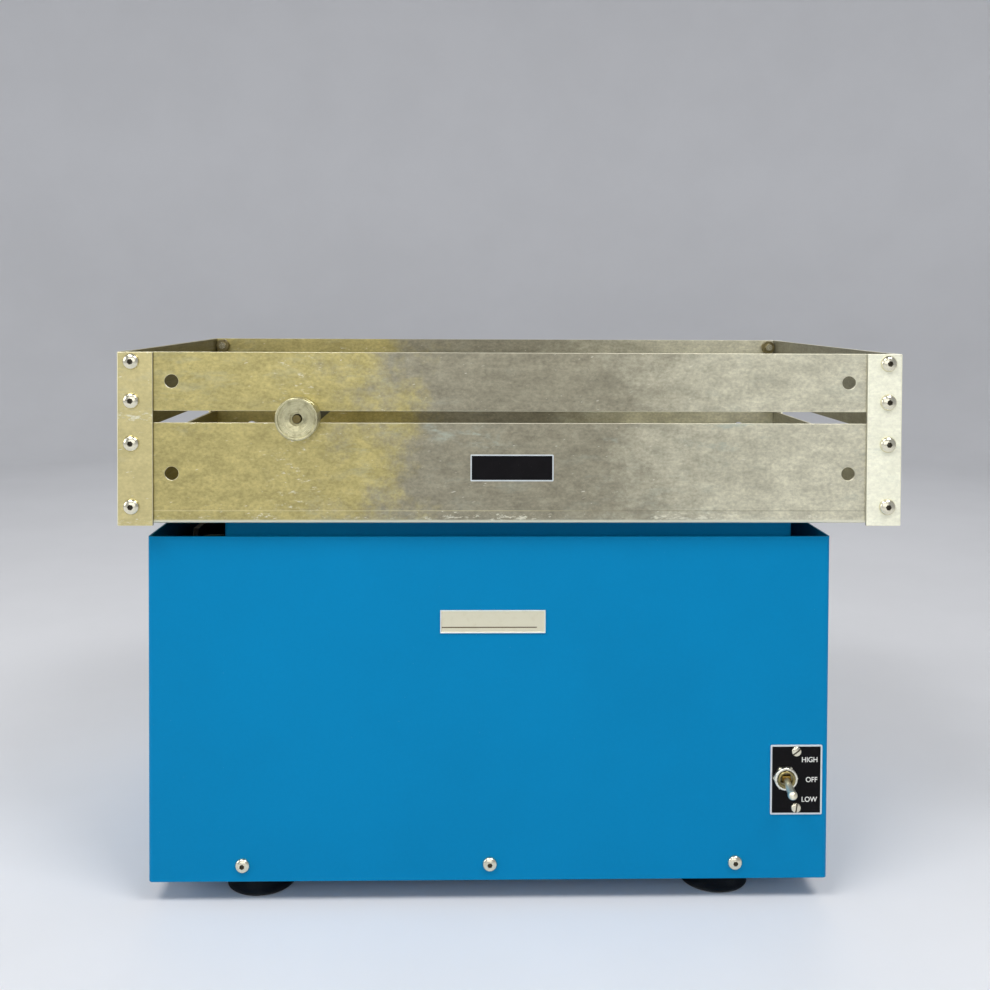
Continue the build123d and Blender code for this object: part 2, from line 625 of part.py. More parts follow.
def connecting_rod():
    """Forged rod: two eyes, a waisted shank and a pocket in each face."""
    length = CONNECTING_ROD_LENGTH
    outline = Circle(ROD_EYE_RADIUS) + Pos(-length, 0) * Circle(ROD_EYE_RADIUS)
    outline += Pos(-length / 2, 0) * Rectangle(length, ROD_SHANK_WIDTH)
    body = extrude(outline, CONNECTING_ROD_THICKNESS)
    pocket = Box(length - 2 * ROD_EYE_RADIUS - 12, ROD_SHANK_WIDTH - 8, 2 * ROD_POCKET)
    for z in (0, CONNECTING_ROD_THICKNESS):
        body -= Pos(-length / 2, 0, z) * pocket
    for x in (0, -length):
        body -= Pos(x, 0, 0) * prism(ROD_BUSH_RADIUS, BUSH_SIDES, 0, CONNECTING_ROD_THICKNESS)
    return lay_rod(Pos(0, 0, connecting_rod_bottom) * body)


def rod_bushes():
    for x in (0, -CONNECTING_ROD_LENGTH):
        eye_bush = bush(ROD_BUSH_RADIUS, PIN_RADIUS + RUNNING_FIT, connecting_rod_bottom, connecting_rod_top)
        yield lay_rod(Pos(x, 0, 0) * eye_bush)


def wrist_pin():
    """Shoulder screw up into the wrist block: its head holds the rod from below."""
    head_top = connecting_rod_bottom - GAP
    head = prism(WRIST_HEAD_RADIUS, THREAD_SIDES, head_top - WRIST_HEAD_THICKNESS, head_top)
    tail = thread(PIN_RADIUS - 1, wrist_block_bottom, wrist_block_bottom + WRIST_THREAD)
    return head + prism(PIN_RADIUS, SHAFT_SIDES, head_top, wrist_block_bottom) + tail


# --- Belt -------------------------------------------------------------------------------------
def drive_belt():
    """V-belt round both pulleys: a trapezoid swept along two arcs and their tangents."""
    depth = BELT_SUNK + BELT_DEPTH / 2
    big = PULLEY_RADIUS - depth
    small = MOTOR_PULLEY_RADIUS - depth
    lean = math.acos((big - small) / shaft_span)
    c, s = math.cos(lean), math.sin(lean)
    top_big, low_big = (big * c, big * s), (big * c, -big * s)
    top_small, low_small = (shaft_span + small * c, small * s), (shaft_span + small * c, -small * s)
    path = Wire([
        Line(top_small, top_big).edge(),
        ThreePointArc(top_big, (-big, 0), low_big).edge(),
        Line(low_big, low_small).edge(),
        ThreePointArc(low_small, (shaft_span + small, 0), top_small).edge(),
    ])
    narrow = BELT_WIDTH / 2 - BELT_DEPTH * math.tan(math.radians(BELT_HALF_ANGLE))
    half, reach = BELT_WIDTH / 2, BELT_DEPTH / 2
    # Local X points away from the pulleys, local Y up.
    start = Plane(origin=(*top_small, 0), x_dir=(c, s, 0), z_dir=(s, -c, 0))
    section = start * Polygon((-reach, -narrow), (reach, -half), (reach, half), (-reach, narrow), align=None)
    return Pos(crank_x, 0, belt_z) * sweep(section, path)


# --- Motor ------------------------------------------------------------------------------------
def motor_outline(size):
    """Square outline with cut corners, as the laminations are stamped."""
    return chamfer(Rectangle(size, size).vertices(), MOTOR_CORNER)


def motor_bell(low, upward):
    """End bell: a cast cap with a shaft bore, its flat side against the stator."""
    h = MOTOR_BELL_HEIGHT
    bell = extrude(motor_outline(MOTOR_SIZE - 2 * MOTOR_BELL_STEP), h)
    bell = chamfer(bell.faces().sort_by(Axis.Z)[-1].edges(), MOTOR_BELL_CHAMFER)
    bell -= rod(MOTOR_SHAFT_RADIUS + RUNNING_FIT, 0, h)
    if not upward:
        bell = Pos(0, 0, h) * BELOW * bell
    return Pos(motor_x, 0, low) * bell


def motor_stator():
    stack = Pos(0, 0, stator_bottom) * extrude(motor_outline(MOTOR_SIZE), MOTOR_STATOR_HEIGHT)
    stack -= prism(ROTOR_RADIUS + ROTOR_GAP, FOOT_SIDES, stator_bottom, stator_top)
    return Pos(motor_x, 0, 0) * stack


def motor_plate():
    # Its bolt holes are slots along X, so that the belt can be tightened.
    offset = MOTOR_PLATE_SIZE / 2 - MOTOR_PLATE_BOLT_INSET
    outline = Rectangle(MOTOR_PLATE_SIZE, MOTOR_PLATE_SIZE)
    for sx, sy in CORNERS:
        slot = Rectangle(2 * MOTOR_SLOT_WIDTH, MOTOR_SLOT_WIDTH)
        outline -= Pos(sx * offset, sy * offset) * slot
    plate = extrude(outline, MOTOR_PLATE_SHEET)
    return Pos(motor_x, 0, pan_top) * plate


def motor_rotor():
    """Rotor and shaft in one: the shaft runs up through the top bell to the pulley."""
    shaft = prism(MOTOR_SHAFT_RADIUS, SHAFT_SIDES, motor_plate_top + GAP, pulley_top + 3)
    core = prism(ROTOR_RADIUS, FOOT_SIDES, stator_bottom + 6, stator_top - 6)
    return Pos(motor_x, 0, 0) * (shaft + core)


def motor_pulley():
    half = PULLEY_WIDTH / 2
    outline = [
        (MOTOR_PULLEY_RADIUS, -half), *reversed(groove_outline(MOTOR_PULLEY_RADIUS)),
        (MOTOR_PULLEY_RADIUS, half),
    ]
    pulley = flat_sided(outline, FOOT_SIDES) - prism(MOTOR_SHAFT_RADIUS, SHAFT_SIDES, -half, half)
    return Pos(motor_x, 0, belt_z) * pulley


# --- Carriage ---------------------------------------------------------------------------------
def floor_screw_places():
    x = block_x + BLOCK_WIDTH / 2 + FLOOR_SCREW_CLEAR
    for sx, sy in CORNERS:
        yield Pos(sx * x, sy * FLOOR_SCREW_Y, 0)


def carriage_block_places():
    for sx, sy in CORNERS:
        yield Pos(sx * block_x, sy * ROD_SPAN_Y / 2, guide_z)


def platform():
    """Inverted folded pan: its end skirts are cut away over the end frames and guide rods."""
    depth = HOUSING_DEPTH - 2 * PLATFORM_FRONT_INSET
    sheet = PLATFORM_SHEET
    outer = extrude(RectangleRounded(platform_width, depth, PLATFORM_BEND), PLATFORM_SKIRT)
    inner = extrude(Rectangle(platform_width - 2 * sheet, depth - 2 * sheet), PLATFORM_SKIRT - sheet)
    pan = Pos(0, 0, platform_top - PLATFORM_SKIRT) * (outer - inner)
    frame_top = guide_z + END_FRAME_ABOVE_ROD + 2.0
    passage = block(
        (-platform_width, platform_width), (-end_frame_width / 2 - 4, end_frame_width / 2 + 4),
        (block_bottom, frame_top),
    )
    pan -= passage
    for screw_place in floor_screw_places():
        pan -= screw_place * thread(TRAY_SCREW_RADIUS + SCREW_PLAY, block_bottom, platform_top)
    return pan


def carriage_blocks():
    half = BLOCK_WIDTH / 2
    height = (block_bottom - guide_z, platform_underside - guide_z)
    for block_place in carriage_block_places():
        body = block((-half, half), (-BLOCK_DEPTH / 2, BLOCK_DEPTH / 2), height)
        body -= RIGHT * prism(LINEAR_BUSH_RADIUS, BUSH_SIDES, -half, half)
        yield block_place * body


def linear_bushings():
    half = LINEAR_BUSH_LENGTH / 2
    for block_place in carriage_block_places():
        yield block_place * RIGHT * bush(LINEAR_BUSH_RADIUS, ROD_RADIUS + RUNNING_FIT, -half, half)


def wrist_block():
    half = WRIST_BLOCK_SIZE / 2
    body = block((-half, half), (-half, half), (wrist_block_bottom, platform_underside))
    body = chamfer(body.edges().filter_by(Axis.Z), 3)
    body -= thread(PIN_RADIUS - 1, wrist_block_bottom, wrist_block_bottom + WRIST_THREAD)
    return body


# --- Tray -------------------------------------------------------------------------------------
def corner_screw_seats():
    """Where the brackets are screwed to the front and rear: place, turned so that +Z is outwards."""
    for sx, sy in CORNERS:
        x = sx * (TRAY_LENGTH / 2 - BRACKET_SCREW_INSET)
        for drop in BRACKET_SCREW_DROPS:
            yield Pos(x, sy * TRAY_DEPTH / 2, tray_top - drop) * (FRONT if sy < 0 else REAR)


def drill_corner_screws(shape):
    drill = thread(TRAY_SCREW_RADIUS + SCREW_PLAY, -BRACKET_SHEET - 2 * TRAY_WALL, 1)
    for seat in corner_screw_seats():
        shape -= seat * drill
    return shape


def drill_accessory_holes(shape):
    for side in (-1, 1):
        x = side * (TRAY_LENGTH / 2 - ACCESSORY_HOLE_INSET)
        for drop in ACCESSORY_HOLE_DROPS:
            drill = FRONT * rod(ACCESSORY_HOLE_RADIUS, -TRAY_DEPTH, TRAY_DEPTH)
            shape -= Pos(x, 0, tray_top - drop) * drill
    return shape


def bent_wall(length, height, bend_length):
    """A wall bent up from a floor that ends at X = 0, with its underside on Z = 0."""
    outer, inner = TRAY_BEND, TRAY_BEND - TRAY_WALL
    quarter = (Circle(outer) - Circle(inner)) & Pos(outer / 2, -outer / 2) * Rectangle(outer, outer)
    fold = extrude(Plane.XZ * Pos(0, outer) * quarter, bend_length / 2, both=True)
    return fold + block((inner, outer), (-length / 2, length / 2), (outer, height))


def tray_pan():
    """Folded pan: a floor and four walls in one sheet, open at the corners, lower at its ends."""
    x, y = tray_wall_x - TRAY_BEND, tray_wall_y - TRAY_BEND
    long_wall = bent_wall(2 * tray_wall_x, front_wall_top - platform_top, 2 * x)
    end_length = 2 * (tray_inner_y - TRAY_CORNER_GAP)
    end_wall = bent_wall(end_length, side_wall_top - platform_top, 2 * y)
    pan = block((-x, x), (-y, y), (platform_top, tray_floor))
    for turn in (0, 180):
        pan += Rot(0, 0, turn) * Pos(x, 0, platform_top) * end_wall
        pan += Rot(0, 0, turn + 90) * Pos(y, 0, platform_top) * long_wall
    for screw_place in floor_screw_places():
        pan -= screw_place * floor_screw()
    return drill_accessory_holes(drill_corner_screws(pan))


def tray_rail(side, across):
    """Upper rail: a flat bar above the slot, full length at the front and rear."""
    if across:
        y = sorted((side * tray_inner_y, side * tray_wall_y))
        rail = block((-tray_wall_x, tray_wall_x), y, (front_slot_top, tray_top))
        return drill_accessory_holes(drill_corner_screws(rail))
    x = sorted((side * tray_inner_x, side * tray_wall_x))
    return block(x, (-tray_inner_y, tray_inner_y), (tray_top - SIDE_RAIL_HEIGHT, tray_top))


def corner_bracket(sx, sy):
    """Equal angle outside the corner: screwed to the front or rear, spot-welded at the end."""
    low = platform_top - BRACKET_OVERHANG
    leg, sheet = BRACKET_LEG, BRACKET_SHEET
    outline = Polygon((0, 0), (leg, 0), (leg, sheet), (sheet, sheet), (sheet, leg), (0, leg), align=None)
    angle = extrude(outline, tray_top - low)
    corner = angle.edges().filter_by(Axis.Z).sort_by(lambda edge: edge.center().X + edge.center().Y)[0]
    angle = fillet(corner, 1.2)
    bracket = Pos(-TRAY_LENGTH / 2, -TRAY_DEPTH / 2, low) * angle
    if sx > 0:
        bracket = mirror(bracket, Plane.YZ)
    if sy > 0:
        bracket = mirror(bracket, Plane.XZ)
    return drill_corner_screws(bracket)


def tray_screws():
    screw = button_screw(TRAY_SCREW_RADIUS, TRAY_SCREW_LENGTH, TRAY_SCREW_HEAD_RADIUS, TRAY_SCREW_HEAD)
    for seat in corner_screw_seats():
        yield seat * screw


def floor_screw():
    """A countersunk screw whose head fills the thickness of the tray's floor."""
    head_radius = TRAY_SCREW_RADIUS + TRAY_WALL
    return Pos(0, 0, tray_floor) * flat_screw(TRAY_SCREW_RADIUS, FLOOR_SCREW_LENGTH, head_radius, TRAY_WALL)


def tray_nuts():
    nut = BELOW * hex_nut(TRAY_NUT_FLATS, TRAY_NUT_THICKNESS, TRAY_SCREW_RADIUS)
    for seat in corner_screw_seats():
        yield seat * Pos(0, 0, -BRACKET_SHEET - TRAY_WALL) * nut
    for screw_place in floor_screw_places():
        yield screw_place * Pos(0, 0, platform_underside) * nut


# --- Crossbar and knobs -----------------------------------------------------------------------
def crossbar():
    """Bar across the tray from front to rear, tapped at both ends for a stud."""
    half = tray_inner_y - GAP
    bar = Box(CROSSBAR_WIDTH, 2 * half, CROSSBAR_HEIGHT)
    tapped = FRONT * thread(TRAY_SCREW_RADIUS, half - STUD_DEPTH, half)
    return Pos(crossbar_x, 0, front_slot_z) * (bar - tapped - mirror(tapped, Plane.XZ))


def crossbar_stud(turn):
    inner_end = tray_inner_y - GAP - STUD_DEPTH
    outer_end = knob_face + KNOB_THICKNESS - 1.5
    return Pos(crossbar_x, 0, front_slot_z) * turn * thread(TRAY_SCREW_RADIUS, inner_end, outer_end)


def clamp_knob(turn):
    """Turned thumb knob: a grooved rim, a dished face and a recess round the stud's end."""
    r, t = KNOB_RADIUS, KNOB_THICKNESS
    knob = flat_sided([(r, 0), (r, 0.6 * t), (r - 0.9, 0.66 * t), (r, 0.72 * t), (r, t)], KNOB_SIDES)
    knob -= flat_sided([(r - 3.6, t - 0.6), (r - 2.1, t)], KNOB_SIDES)
    knob -= prism(KNOB_RECESS_RADIUS, BUSH_SIDES, t - KNOB_RECESS_DEPTH - 0.9, t)
    knob -= rod(TRAY_SCREW_RADIUS + RUNNING_FIT, 0, t)
    return Pos(crossbar_x, 0, front_slot_z) * turn * Pos(0, 0, knob_face) * knob


# --- Nodes ------------------------------------------------------------------------------------
def build():
    """Every node of the shaker by name."""
    crank = Pos(housing_x + crank_x, 0, 0)
    foot_stud = thread(FOOT_STUD_RADIUS, FOOT_STUD_SUNK, pan_top + FOOT_STUD_STAND)
    foot_nut = Pos(0, 0, pan_top) * hex_nut(FOOT_NUT_FLATS, FOOT_NUT_THICKNESS, FOOT_STUD_RADIUS)
    side_length = HOUSING_SHEET + PAN_SHEET + SIDE_SCREW_STAND
    side_screw = button_screw(SIDE_SCREW_RADIUS, side_length, SIDE_SCREW_HEAD_RADIUS, SIDE_SCREW_HEAD)
    plate_screw_seats = [
        Pos(switch_plate_x, housing_front - 0.6 * SWITCH_PLATE_THICKNESS, switch_plate_z + z) * FRONT
        for z in (-SWITCH_SCREW_OFFSET, SWITCH_SCREW_OFFSET)
    ]
    plate_screw = button_screw(
        SWITCH_SCREW_RADIUS, SWITCH_SCREW_LENGTH, SWITCH_SCREW_HEAD_RADIUS, SWITCH_SCREW_HEAD
    )
    badge = FRONT * framed_plate(BADGE_WIDTH, BADGE_HEIGHT, BADGE_THICKNESS, 1.0)
    label = FRONT * framed_plate(LABEL_WIDTH, LABEL_HEIGHT, LABEL_THICKNESS, 1.1)
    hexagon_nut, dress_nut = switch_nuts()

    nodes = {
        "housing_shell": place(housing_shell()),
        "base_pan": place(base_pan()),
        "feet": place(group(spot * foot() for spot in foot_places())),
        "foot_studs": place(group(spot * foot_stud for spot in foot_places())),
        "foot_nuts": place(group(spot * foot_nut for spot in foot_places())),
        "housing_screws": place(group(seat * side_screw for seat in side_screw_seats())),
        "cord_gland": place(cord_gland()),
        "badge": place(Pos(BADGE_SHIFT, housing_front, housing_top - BADGE_DROP) * badge),
        "switch_plate": place(switch_plate()),
        "switch_plate_screws": place(group(seat * plate_screw for seat in plate_screw_seats)),
        "switch_body": place(switch_body()),
        "switch_hex_nut": place(hexagon_nut),
        "switch_dress_nut": place(dress_nut),
        "switch_lever": place(switch_lever()),
        "end_frame_left": place(end_frame(-1)),
        "end_frame_right": place(end_frame(1)),
        "guide_rod_front": place(guide_rod(-1)),
        "guide_rod_rear": place(guide_rod(1)),
        "guide_rod_screws": place(group(rod_end_screws())),
        "bearing_pedestal": place(bearing_pedestal()),
        "crank_bearings": place(group(crank_bearings())),
        "crank_shaft": crank * crank_shaft(),
        "driven_pulley": crank * driven_pulley(),
        "crank_disc": crank * crank_disc(),
        "crank_pin": crank * crank_pin(),
        "connecting_rod": connecting_rod(),
        "rod_bushes": group(rod_bushes()),
        "wrist_pin": wrist_pin(),
        "drive_belt": place(drive_belt()),
        "motor_plate": place(motor_plate()),
        "motor_bottom_bell": place(motor_bell(motor_plate_top, False)),
        "motor_stator": place(motor_stator()),
        "motor_top_bell": place(motor_bell(stator_top, True)),
        "motor_rotor": place(motor_rotor()),
        "motor_pulley": place(motor_pulley()),
        "platform": platform(),
        "carriage_blocks": group(carriage_blocks()),
        "linear_bushings": group(linear_bushings()),
        "wrist_block": wrist_block(),
        "tray_pan": tray_pan(),
        "front_rail": tray_rail(-1, True),
        "rear_rail": tray_rail(1, True),
        "left_rail": tray_rail(-1, False),
        "right_rail": tray_rail(1, False),
        "tray_screws": group(tray_screws()),
        "floor_screws": group(screw_place * floor_screw() for screw_place in floor_screw_places()),
        "tray_nuts": group(tray_nuts()),
        "tray_label": Pos(0, -tray_wall_y, tray_top - LABEL_DROP) * label,
        "crossbar": crossbar(),
        "crossbar_studs": group(crossbar_stud(turn) for turn in (FRONT, REAR)),
        "knob_front": clamp_knob(FRONT),
        "knob_rear": clamp_knob(REAR),
    }
    for sx, end in ((-1, "left"), (1, "right")):
        for sy, face in ((-1, "front"), (1, "rear")):
            nodes[f"bracket_{face}_{end}"] = corner_bracket(sx, sy)
    return nodes


for name, shape in build().items():
    export_step(shape, f"parts/{name}.step")
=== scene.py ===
"""Dresses the bench shaker: its finishes, its small fasteners, the lettering of its switch, and the studio."""

import json
from math import cos, pi, radians, sin

import bmesh
import bpy
from bpy.props import FloatProperty, FloatVectorProperty, IntProperty, PointerProperty
from mathutils import Matrix, Vector

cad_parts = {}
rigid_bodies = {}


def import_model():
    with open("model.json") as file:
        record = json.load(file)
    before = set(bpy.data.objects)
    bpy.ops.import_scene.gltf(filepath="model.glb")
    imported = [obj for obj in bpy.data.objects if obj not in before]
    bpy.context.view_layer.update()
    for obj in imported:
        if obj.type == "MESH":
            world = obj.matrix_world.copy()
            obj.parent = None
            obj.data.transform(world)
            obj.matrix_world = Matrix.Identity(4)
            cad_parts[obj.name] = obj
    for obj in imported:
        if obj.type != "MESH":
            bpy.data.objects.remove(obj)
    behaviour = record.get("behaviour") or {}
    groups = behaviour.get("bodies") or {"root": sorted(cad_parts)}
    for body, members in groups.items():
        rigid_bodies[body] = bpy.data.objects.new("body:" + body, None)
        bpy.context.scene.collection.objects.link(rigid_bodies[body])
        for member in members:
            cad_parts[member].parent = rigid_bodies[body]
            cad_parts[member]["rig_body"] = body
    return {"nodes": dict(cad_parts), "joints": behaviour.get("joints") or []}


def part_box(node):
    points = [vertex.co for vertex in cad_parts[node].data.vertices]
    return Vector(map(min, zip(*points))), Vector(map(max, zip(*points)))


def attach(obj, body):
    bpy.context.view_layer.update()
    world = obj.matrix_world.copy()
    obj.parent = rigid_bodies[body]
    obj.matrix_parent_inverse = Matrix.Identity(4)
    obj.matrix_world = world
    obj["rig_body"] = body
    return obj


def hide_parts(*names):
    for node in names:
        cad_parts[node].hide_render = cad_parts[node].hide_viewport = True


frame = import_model()

bl_info = {
    "name": "Bench shaker",
    "version": (1, 0, 0),
    "blender": (4, 5, 0),
    "location": "View3D > Sidebar > Shaker",
    "description": "Builds the finishes and fittings of a bench shaker with a slotted tray",
    "category": "Add Mesh",
}

MM = 0.001
WELD = 1e-6
UP = Vector((0, 0, 1))
TO_FRONT, TO_REAR = Vector((0, -1, 0)), Vector((0, 1, 0))
TO_LEFT, TO_RIGHT = Vector((-1, 0, 0)), Vector((1, 0, 0))
# From the width across a hexagon's flats to the radius of its corners.
FLATS_TO_CORNER = 1 / 3**0.5


def linear(code):
    """An sRGB hex colour as linear red, green, blue and alpha."""
    parts = [int(code[i : i + 2], 16) / 255 for i in (1, 3, 5)]
    return [p / 12.92 if p <= 0.04045 else ((p + 0.055) / 1.055) ** 2.4 for p in parts] + [1.0]


def every(size_mm):
    """How often in a metre a pattern comes that repeats every so many millimetres."""
    return 1000.0 / size_mm


# --- What a user may change -------------------------------------------------------------------
def length(name, description, default_mm):
    return FloatProperty(
        name=name, description=description, default=default_mm * MM, min=0.0, subtype="DISTANCE", unit="LENGTH"
    )


def colour(name, description, code):
    return FloatVectorProperty(
        name=name, description=description, default=linear(code), size=4, min=0.0, max=1.0, subtype="COLOR"
    )


class ShakerSizes(bpy.types.PropertyGroup):
    """Sizes that the solids leave open."""

    sheet_edge: length("Sheet edge", "Rounding along the cut edges of the sheet metal", 0.35)
    cast_edge: length("Cast edge", "Rounding along the edges of castings and bars", 0.8)
    fine_edge: length("Fine edge", "Rounding of the small plates and nuts", 0.2)
    socket_width: length("Socket width", "Across the flats of a tray screw's hexagon socket", 3.5)
    socket_depth: length("Socket depth", "Depth of a tray screw's hexagon socket", 2.3)
    slot_width: length("Slot width", "Width of the slot in the switch plate's screws", 1.0)
    thread_pitch: length("Thread pitch", "Distance between the threads of a tray screw", 1.27)
    cap_height: length("Cap height", "Height of the capitals beside the switch", 3.6)
    plate_border: length("Plate border", "Width of the bare metal round the switch plate", 1.6)
    label_border: length("Label border", "Width of the bare metal round the tray's label", 1.1)
    turning: IntProperty(name="Turning", description="Sides of a turned piece", default=72, min=16, max=256)


class ShakerColours(bpy.types.PropertyGroup):
    """Colours of the main finishes."""

    enamel: colour("Enamel", "Baked enamel of the housing", "#007CAF")
    # Painted light: the platform's enamel is a lighter copy of the housing's, brightening the platform where it lies in
    # the tray's shadow.
    platform: colour("Platform", "Baked enamel of the platform", "#008CCD")
    black: colour("Black", "Printed field of the label and switch plate", "#0B0A0C")
    ink: colour("Ink", "Lettering beside the switch", "#E9E9E4")
    floor: colour("Floor", "Bench top and backdrop", "#E4E5E8")


def sizes():
    return bpy.context.scene.shaker_sizes


def chosen(name):
    """A colour that the user may change, by its name."""
    return tuple(getattr(bpy.context.scene.shaker_colours, name))


# --- Node trees -------------------------------------------------------------------------------
# What add() knows of each node: Blender's type, the inputs in the order in which it is given their
# values, the output that it returns, or None for all of them, and the settings.
NODES = {
    "coordinates": ("ShaderNodeTexCoord", (), None, {}),
    "noise": ("ShaderNodeTexNoise", ("Vector", "Scale", "Detail", "Roughness"), "Fac", {}),
    "dimples": ("ShaderNodeTexVoronoi", ("Vector", "Scale"), "Distance", {}),
    "spread": ("ShaderNodeMapRange", ("Value", 1, 2, 3, 4), "Result", {"interpolation_type": "SMOOTHSTEP"}),
    "blend": ("ShaderNodeMix", (0, 6, 7), 2, {"data_type": "RGBA"}),
    "choose": ("ShaderNodeMix", (0, 2, 3), 0, {}),
    "shade": ("ShaderNodeHueSaturation", ("Color", "Value"), "Color", {}),
    "bump": ("ShaderNodeBump", ("Height", "Distance"), "Normal", {}),
    "stretch": ("ShaderNodeMapping", ("Vector", "Scale"), "Vector", {}),
    "slant": ("ShaderNodeMapping", ("Vector", "Rotation"), "Vector", {}),
    "split": ("ShaderNodeSeparateXYZ", (0,), None, {}),
    "join": ("ShaderNodeCombineXYZ", (0, 1, 2), 0, {}),
    "away": ("ShaderNodeVectorMath", (0, 1), 0, {"operation": "SUBTRACT"}),
    "scaled": ("ShaderNodeVectorMath", (0, 1), 0, {"operation": "MULTIPLY"}),
    "length": ("ShaderNodeVectorMath", (0,), "Value", {"operation": "LENGTH"}),
    "dot": ("ShaderNodeVectorMath", (0, 1), "Value", {"operation": "DOT_PRODUCT"}),
    "surface": (
        "ShaderNodeBsdfPrincipled",
        ("Base Color", "Roughness", "Normal", "Metallic", "IOR", "Specular IOR Level"), "BSDF", {},
    ),
    "skin": ("ShaderNodeOutputMaterial", ("Surface",), None, {}),
    "given": ("NodeGroupInput", (), None, {}),
    "made": ("NodeGroupOutput", (0,), None, {}),
    "cylinder": (
        "GeometryNodeMeshCylinder", ("Vertices", "Side Segments", "Fill Segments", "Radius", "Depth"), "Mesh",
        {"fill_type": "TRIANGLE_FAN"},
    ),
    "slab": ("GeometryNodeMeshCube", ("Size",), "Mesh", {}),
    "ball": ("GeometryNodeMeshUVSphere", ("Segments", "Rings", "Radius"), "Mesh", {}),
    "cut": ("GeometryNodeMeshBoolean", (0, 1), "Mesh", {"operation": "DIFFERENCE"}),
    "common": ("GeometryNodeMeshBoolean", (1, 1), "Mesh", {"operation": "INTERSECT"}),
    "both": ("GeometryNodeJoinGeometry", (0, 0), 0, {}),
    "move": ("GeometryNodeTransform", ("Geometry", "Translation"), 0, {}),
    "place": ("GeometryNodeSetPosition", ("Geometry", "Selection", "Position"), 0, {}),
    "finish": ("GeometryNodeSetMaterial", ("Geometry", "Selection", "Material"), 0, {}),
    "finished in": ("GeometryNodeMaterialSelection", ("Material",), 0, {}),
    "not": ("FunctionNodeBooleanMath", (0,), 0, {"operation": "NOT"}),
    "position": ("GeometryNodeInputPosition", (), 0, {}),
    "own direction": ("GeometryNodeInputNamedAttribute", ("Name",), 0, {"data_type": "FLOAT_VECTOR"}),
    "own number": ("GeometryNodeInputNamedAttribute", ("Name",), 0, {"data_type": "FLOAT"}),
    "chance": ("FunctionNodeRandomValue", (2, 3, "Seed"), 1, {"data_type": "FLOAT"}),
    "face": ("FunctionNodeAlignRotationToVector", ("Vector",), 0, {"axis": "Z"}),
    "set out": ("GeometryNodeInstanceOnPoints", ("Points", "Instance", "Rotation"), 0, {}),
    "turn": ("GeometryNodeRotateInstances", ("Instances", "Rotation"), 0, {}),
    "realize": ("GeometryNodeRealizeInstances", (0,), 0, {}),
}
OPERATIONS = {
    "plus": "ADD", "minus": "SUBTRACT", "times": "MULTIPLY", "over": "DIVIDE", "power": "POWER", "root": "SQRT",
    "sine": "SINE", "size": "ABSOLUTE", "larger": "MAXIMUM", "above": "GREATER_THAN",
}
NODES |= {word: ("ShaderNodeMath", (0, 1), 0, {"operation": code}) for word, code in OPERATIONS.items()}


def adder(tree):
    """The function that adds nodes to a tree."""

    def add(word, *values):
        """Adds a node. A value is a constant, an output that feeds the input, or None to leave the input alone."""
        kind, inputs, output, settings = NODES[word]
        node = tree.nodes.new(kind)
        for name, setting in settings.items():
            setattr(node, name, setting)
        for key, value in zip(inputs, values):
            if isinstance(value, bpy.types.NodeSocket):
                tree.links.new(value, node.inputs[key])
            elif value is not None:
                node.inputs[key].default_value = value
        return node.outputs if output is None else node.outputs[output]

    return add


def new_material(name):
    """A material, what adds its nodes, and the place on the piece that its patterns follow."""
    material = bpy.data.materials.new(name)
    material.use_nodes = True
    material.node_tree.nodes.clear()
    add = adder(material.node_tree)
    return material, add, add("coordinates")["Object"]


def surfaced(material, tone, rough, normal=None, metal=None, ior=None, specular=None):
    """Closes the tree of a material with its surface."""
    add = adder(material.node_tree)
    add("skin", add("surface", tone, rough, normal, metal, ior, specular))
    return material


def stained(add, tone, pattern, share, code):
    """The tone with a second colour over it, where the pattern is and as far as the share lets it."""
    return add("blend", add("times", pattern, share), tone, linear(code))


def near(add, value, level, reach):
    """One at a level, falling to nothing at that distance from it."""
    away = add("size", add("minus", value, level))
    return add("spread", away, 0.0, reach, 1.0, 0.0)


def rolled_direction(add, place):
    """Object coordinates with the first axis along the rolling marks: X, or Y on the faces at the ends."""
    x, y, z = add("split", place)
    normal = add("split", add("coordinates")["Normal"])
    at_end = add("above", add("size", normal[0]), 0.7)
    return add("join", add("choose", at_end, x, y), add("choose", at_end, y, x), z)


# --- Finishes ---------------------------------------------------------------------------------
def enamel_material(name, colour_name):
    """Baked enamel on steel, sprayed and stoved.

    It is very even in colour, with a fine orange peel and a few dull patches.
    """
    material, add, place = new_material(name)
    cloud = add("noise", place, every(90), 4.0, 0.55)
    fleck = add("noise", place, every(2.5), 2.0, 0.55)
    shade = add("spread", cloud, 0.3, 0.7, 0.975, 1.02)
    shade = add("times", shade, add("spread", fleck, 0.3, 0.7, 0.985, 1.012))
    tone = add("shade", chosen(colour_name), shade)
    # Dust and small chips, under a millimetre across.
    specks = add("spread", add("noise", place, every(1.6), 1.0, 0.55), 0.80, 0.86)
    tone = stained(add, tone, specks, 0.3, "#63A5C8")
    rough = add("spread", add("noise", place, every(45), 5.0, 0.55), 0.3, 0.7, 0.34, 0.44)
    # Orange peel is about 1 mm from crest to crest.
    normal = add("bump", add("noise", place, every(1.1), 2.0, 0.55), 0.006 * MM)
    return surfaced(material, tone, rough, normal, ior=1.5, specular=0.07)


# Along the tray from its middle: where the yellower end, the brighter end and the chalk begin and are full.
YELLOWER_TO, BRIGHT_FROM, CHALK_FROM = (-0.125, -0.055), (0.03, 0.19), (0.15, 0.25)
# The press left a line this far above the foot of the walls.
FOLD_RISE = 9 * MM


def tone_along_tray(add, place, along, left, middle, right):
    """The sheet is yellower towards one end and brighter towards the other, with a ragged boundary between."""
    ragged = add("minus", add("noise", place, every(48), 7.0, 0.7), 0.5)
    wander = add("plus", along, add("times", ragged, 0.26))
    tone = add("blend", add("spread", wander, *YELLOWER_TO), linear(left), linear(middle))
    return add("blend", add("spread", wander, *BRIGHT_FROM), tone, linear(right))


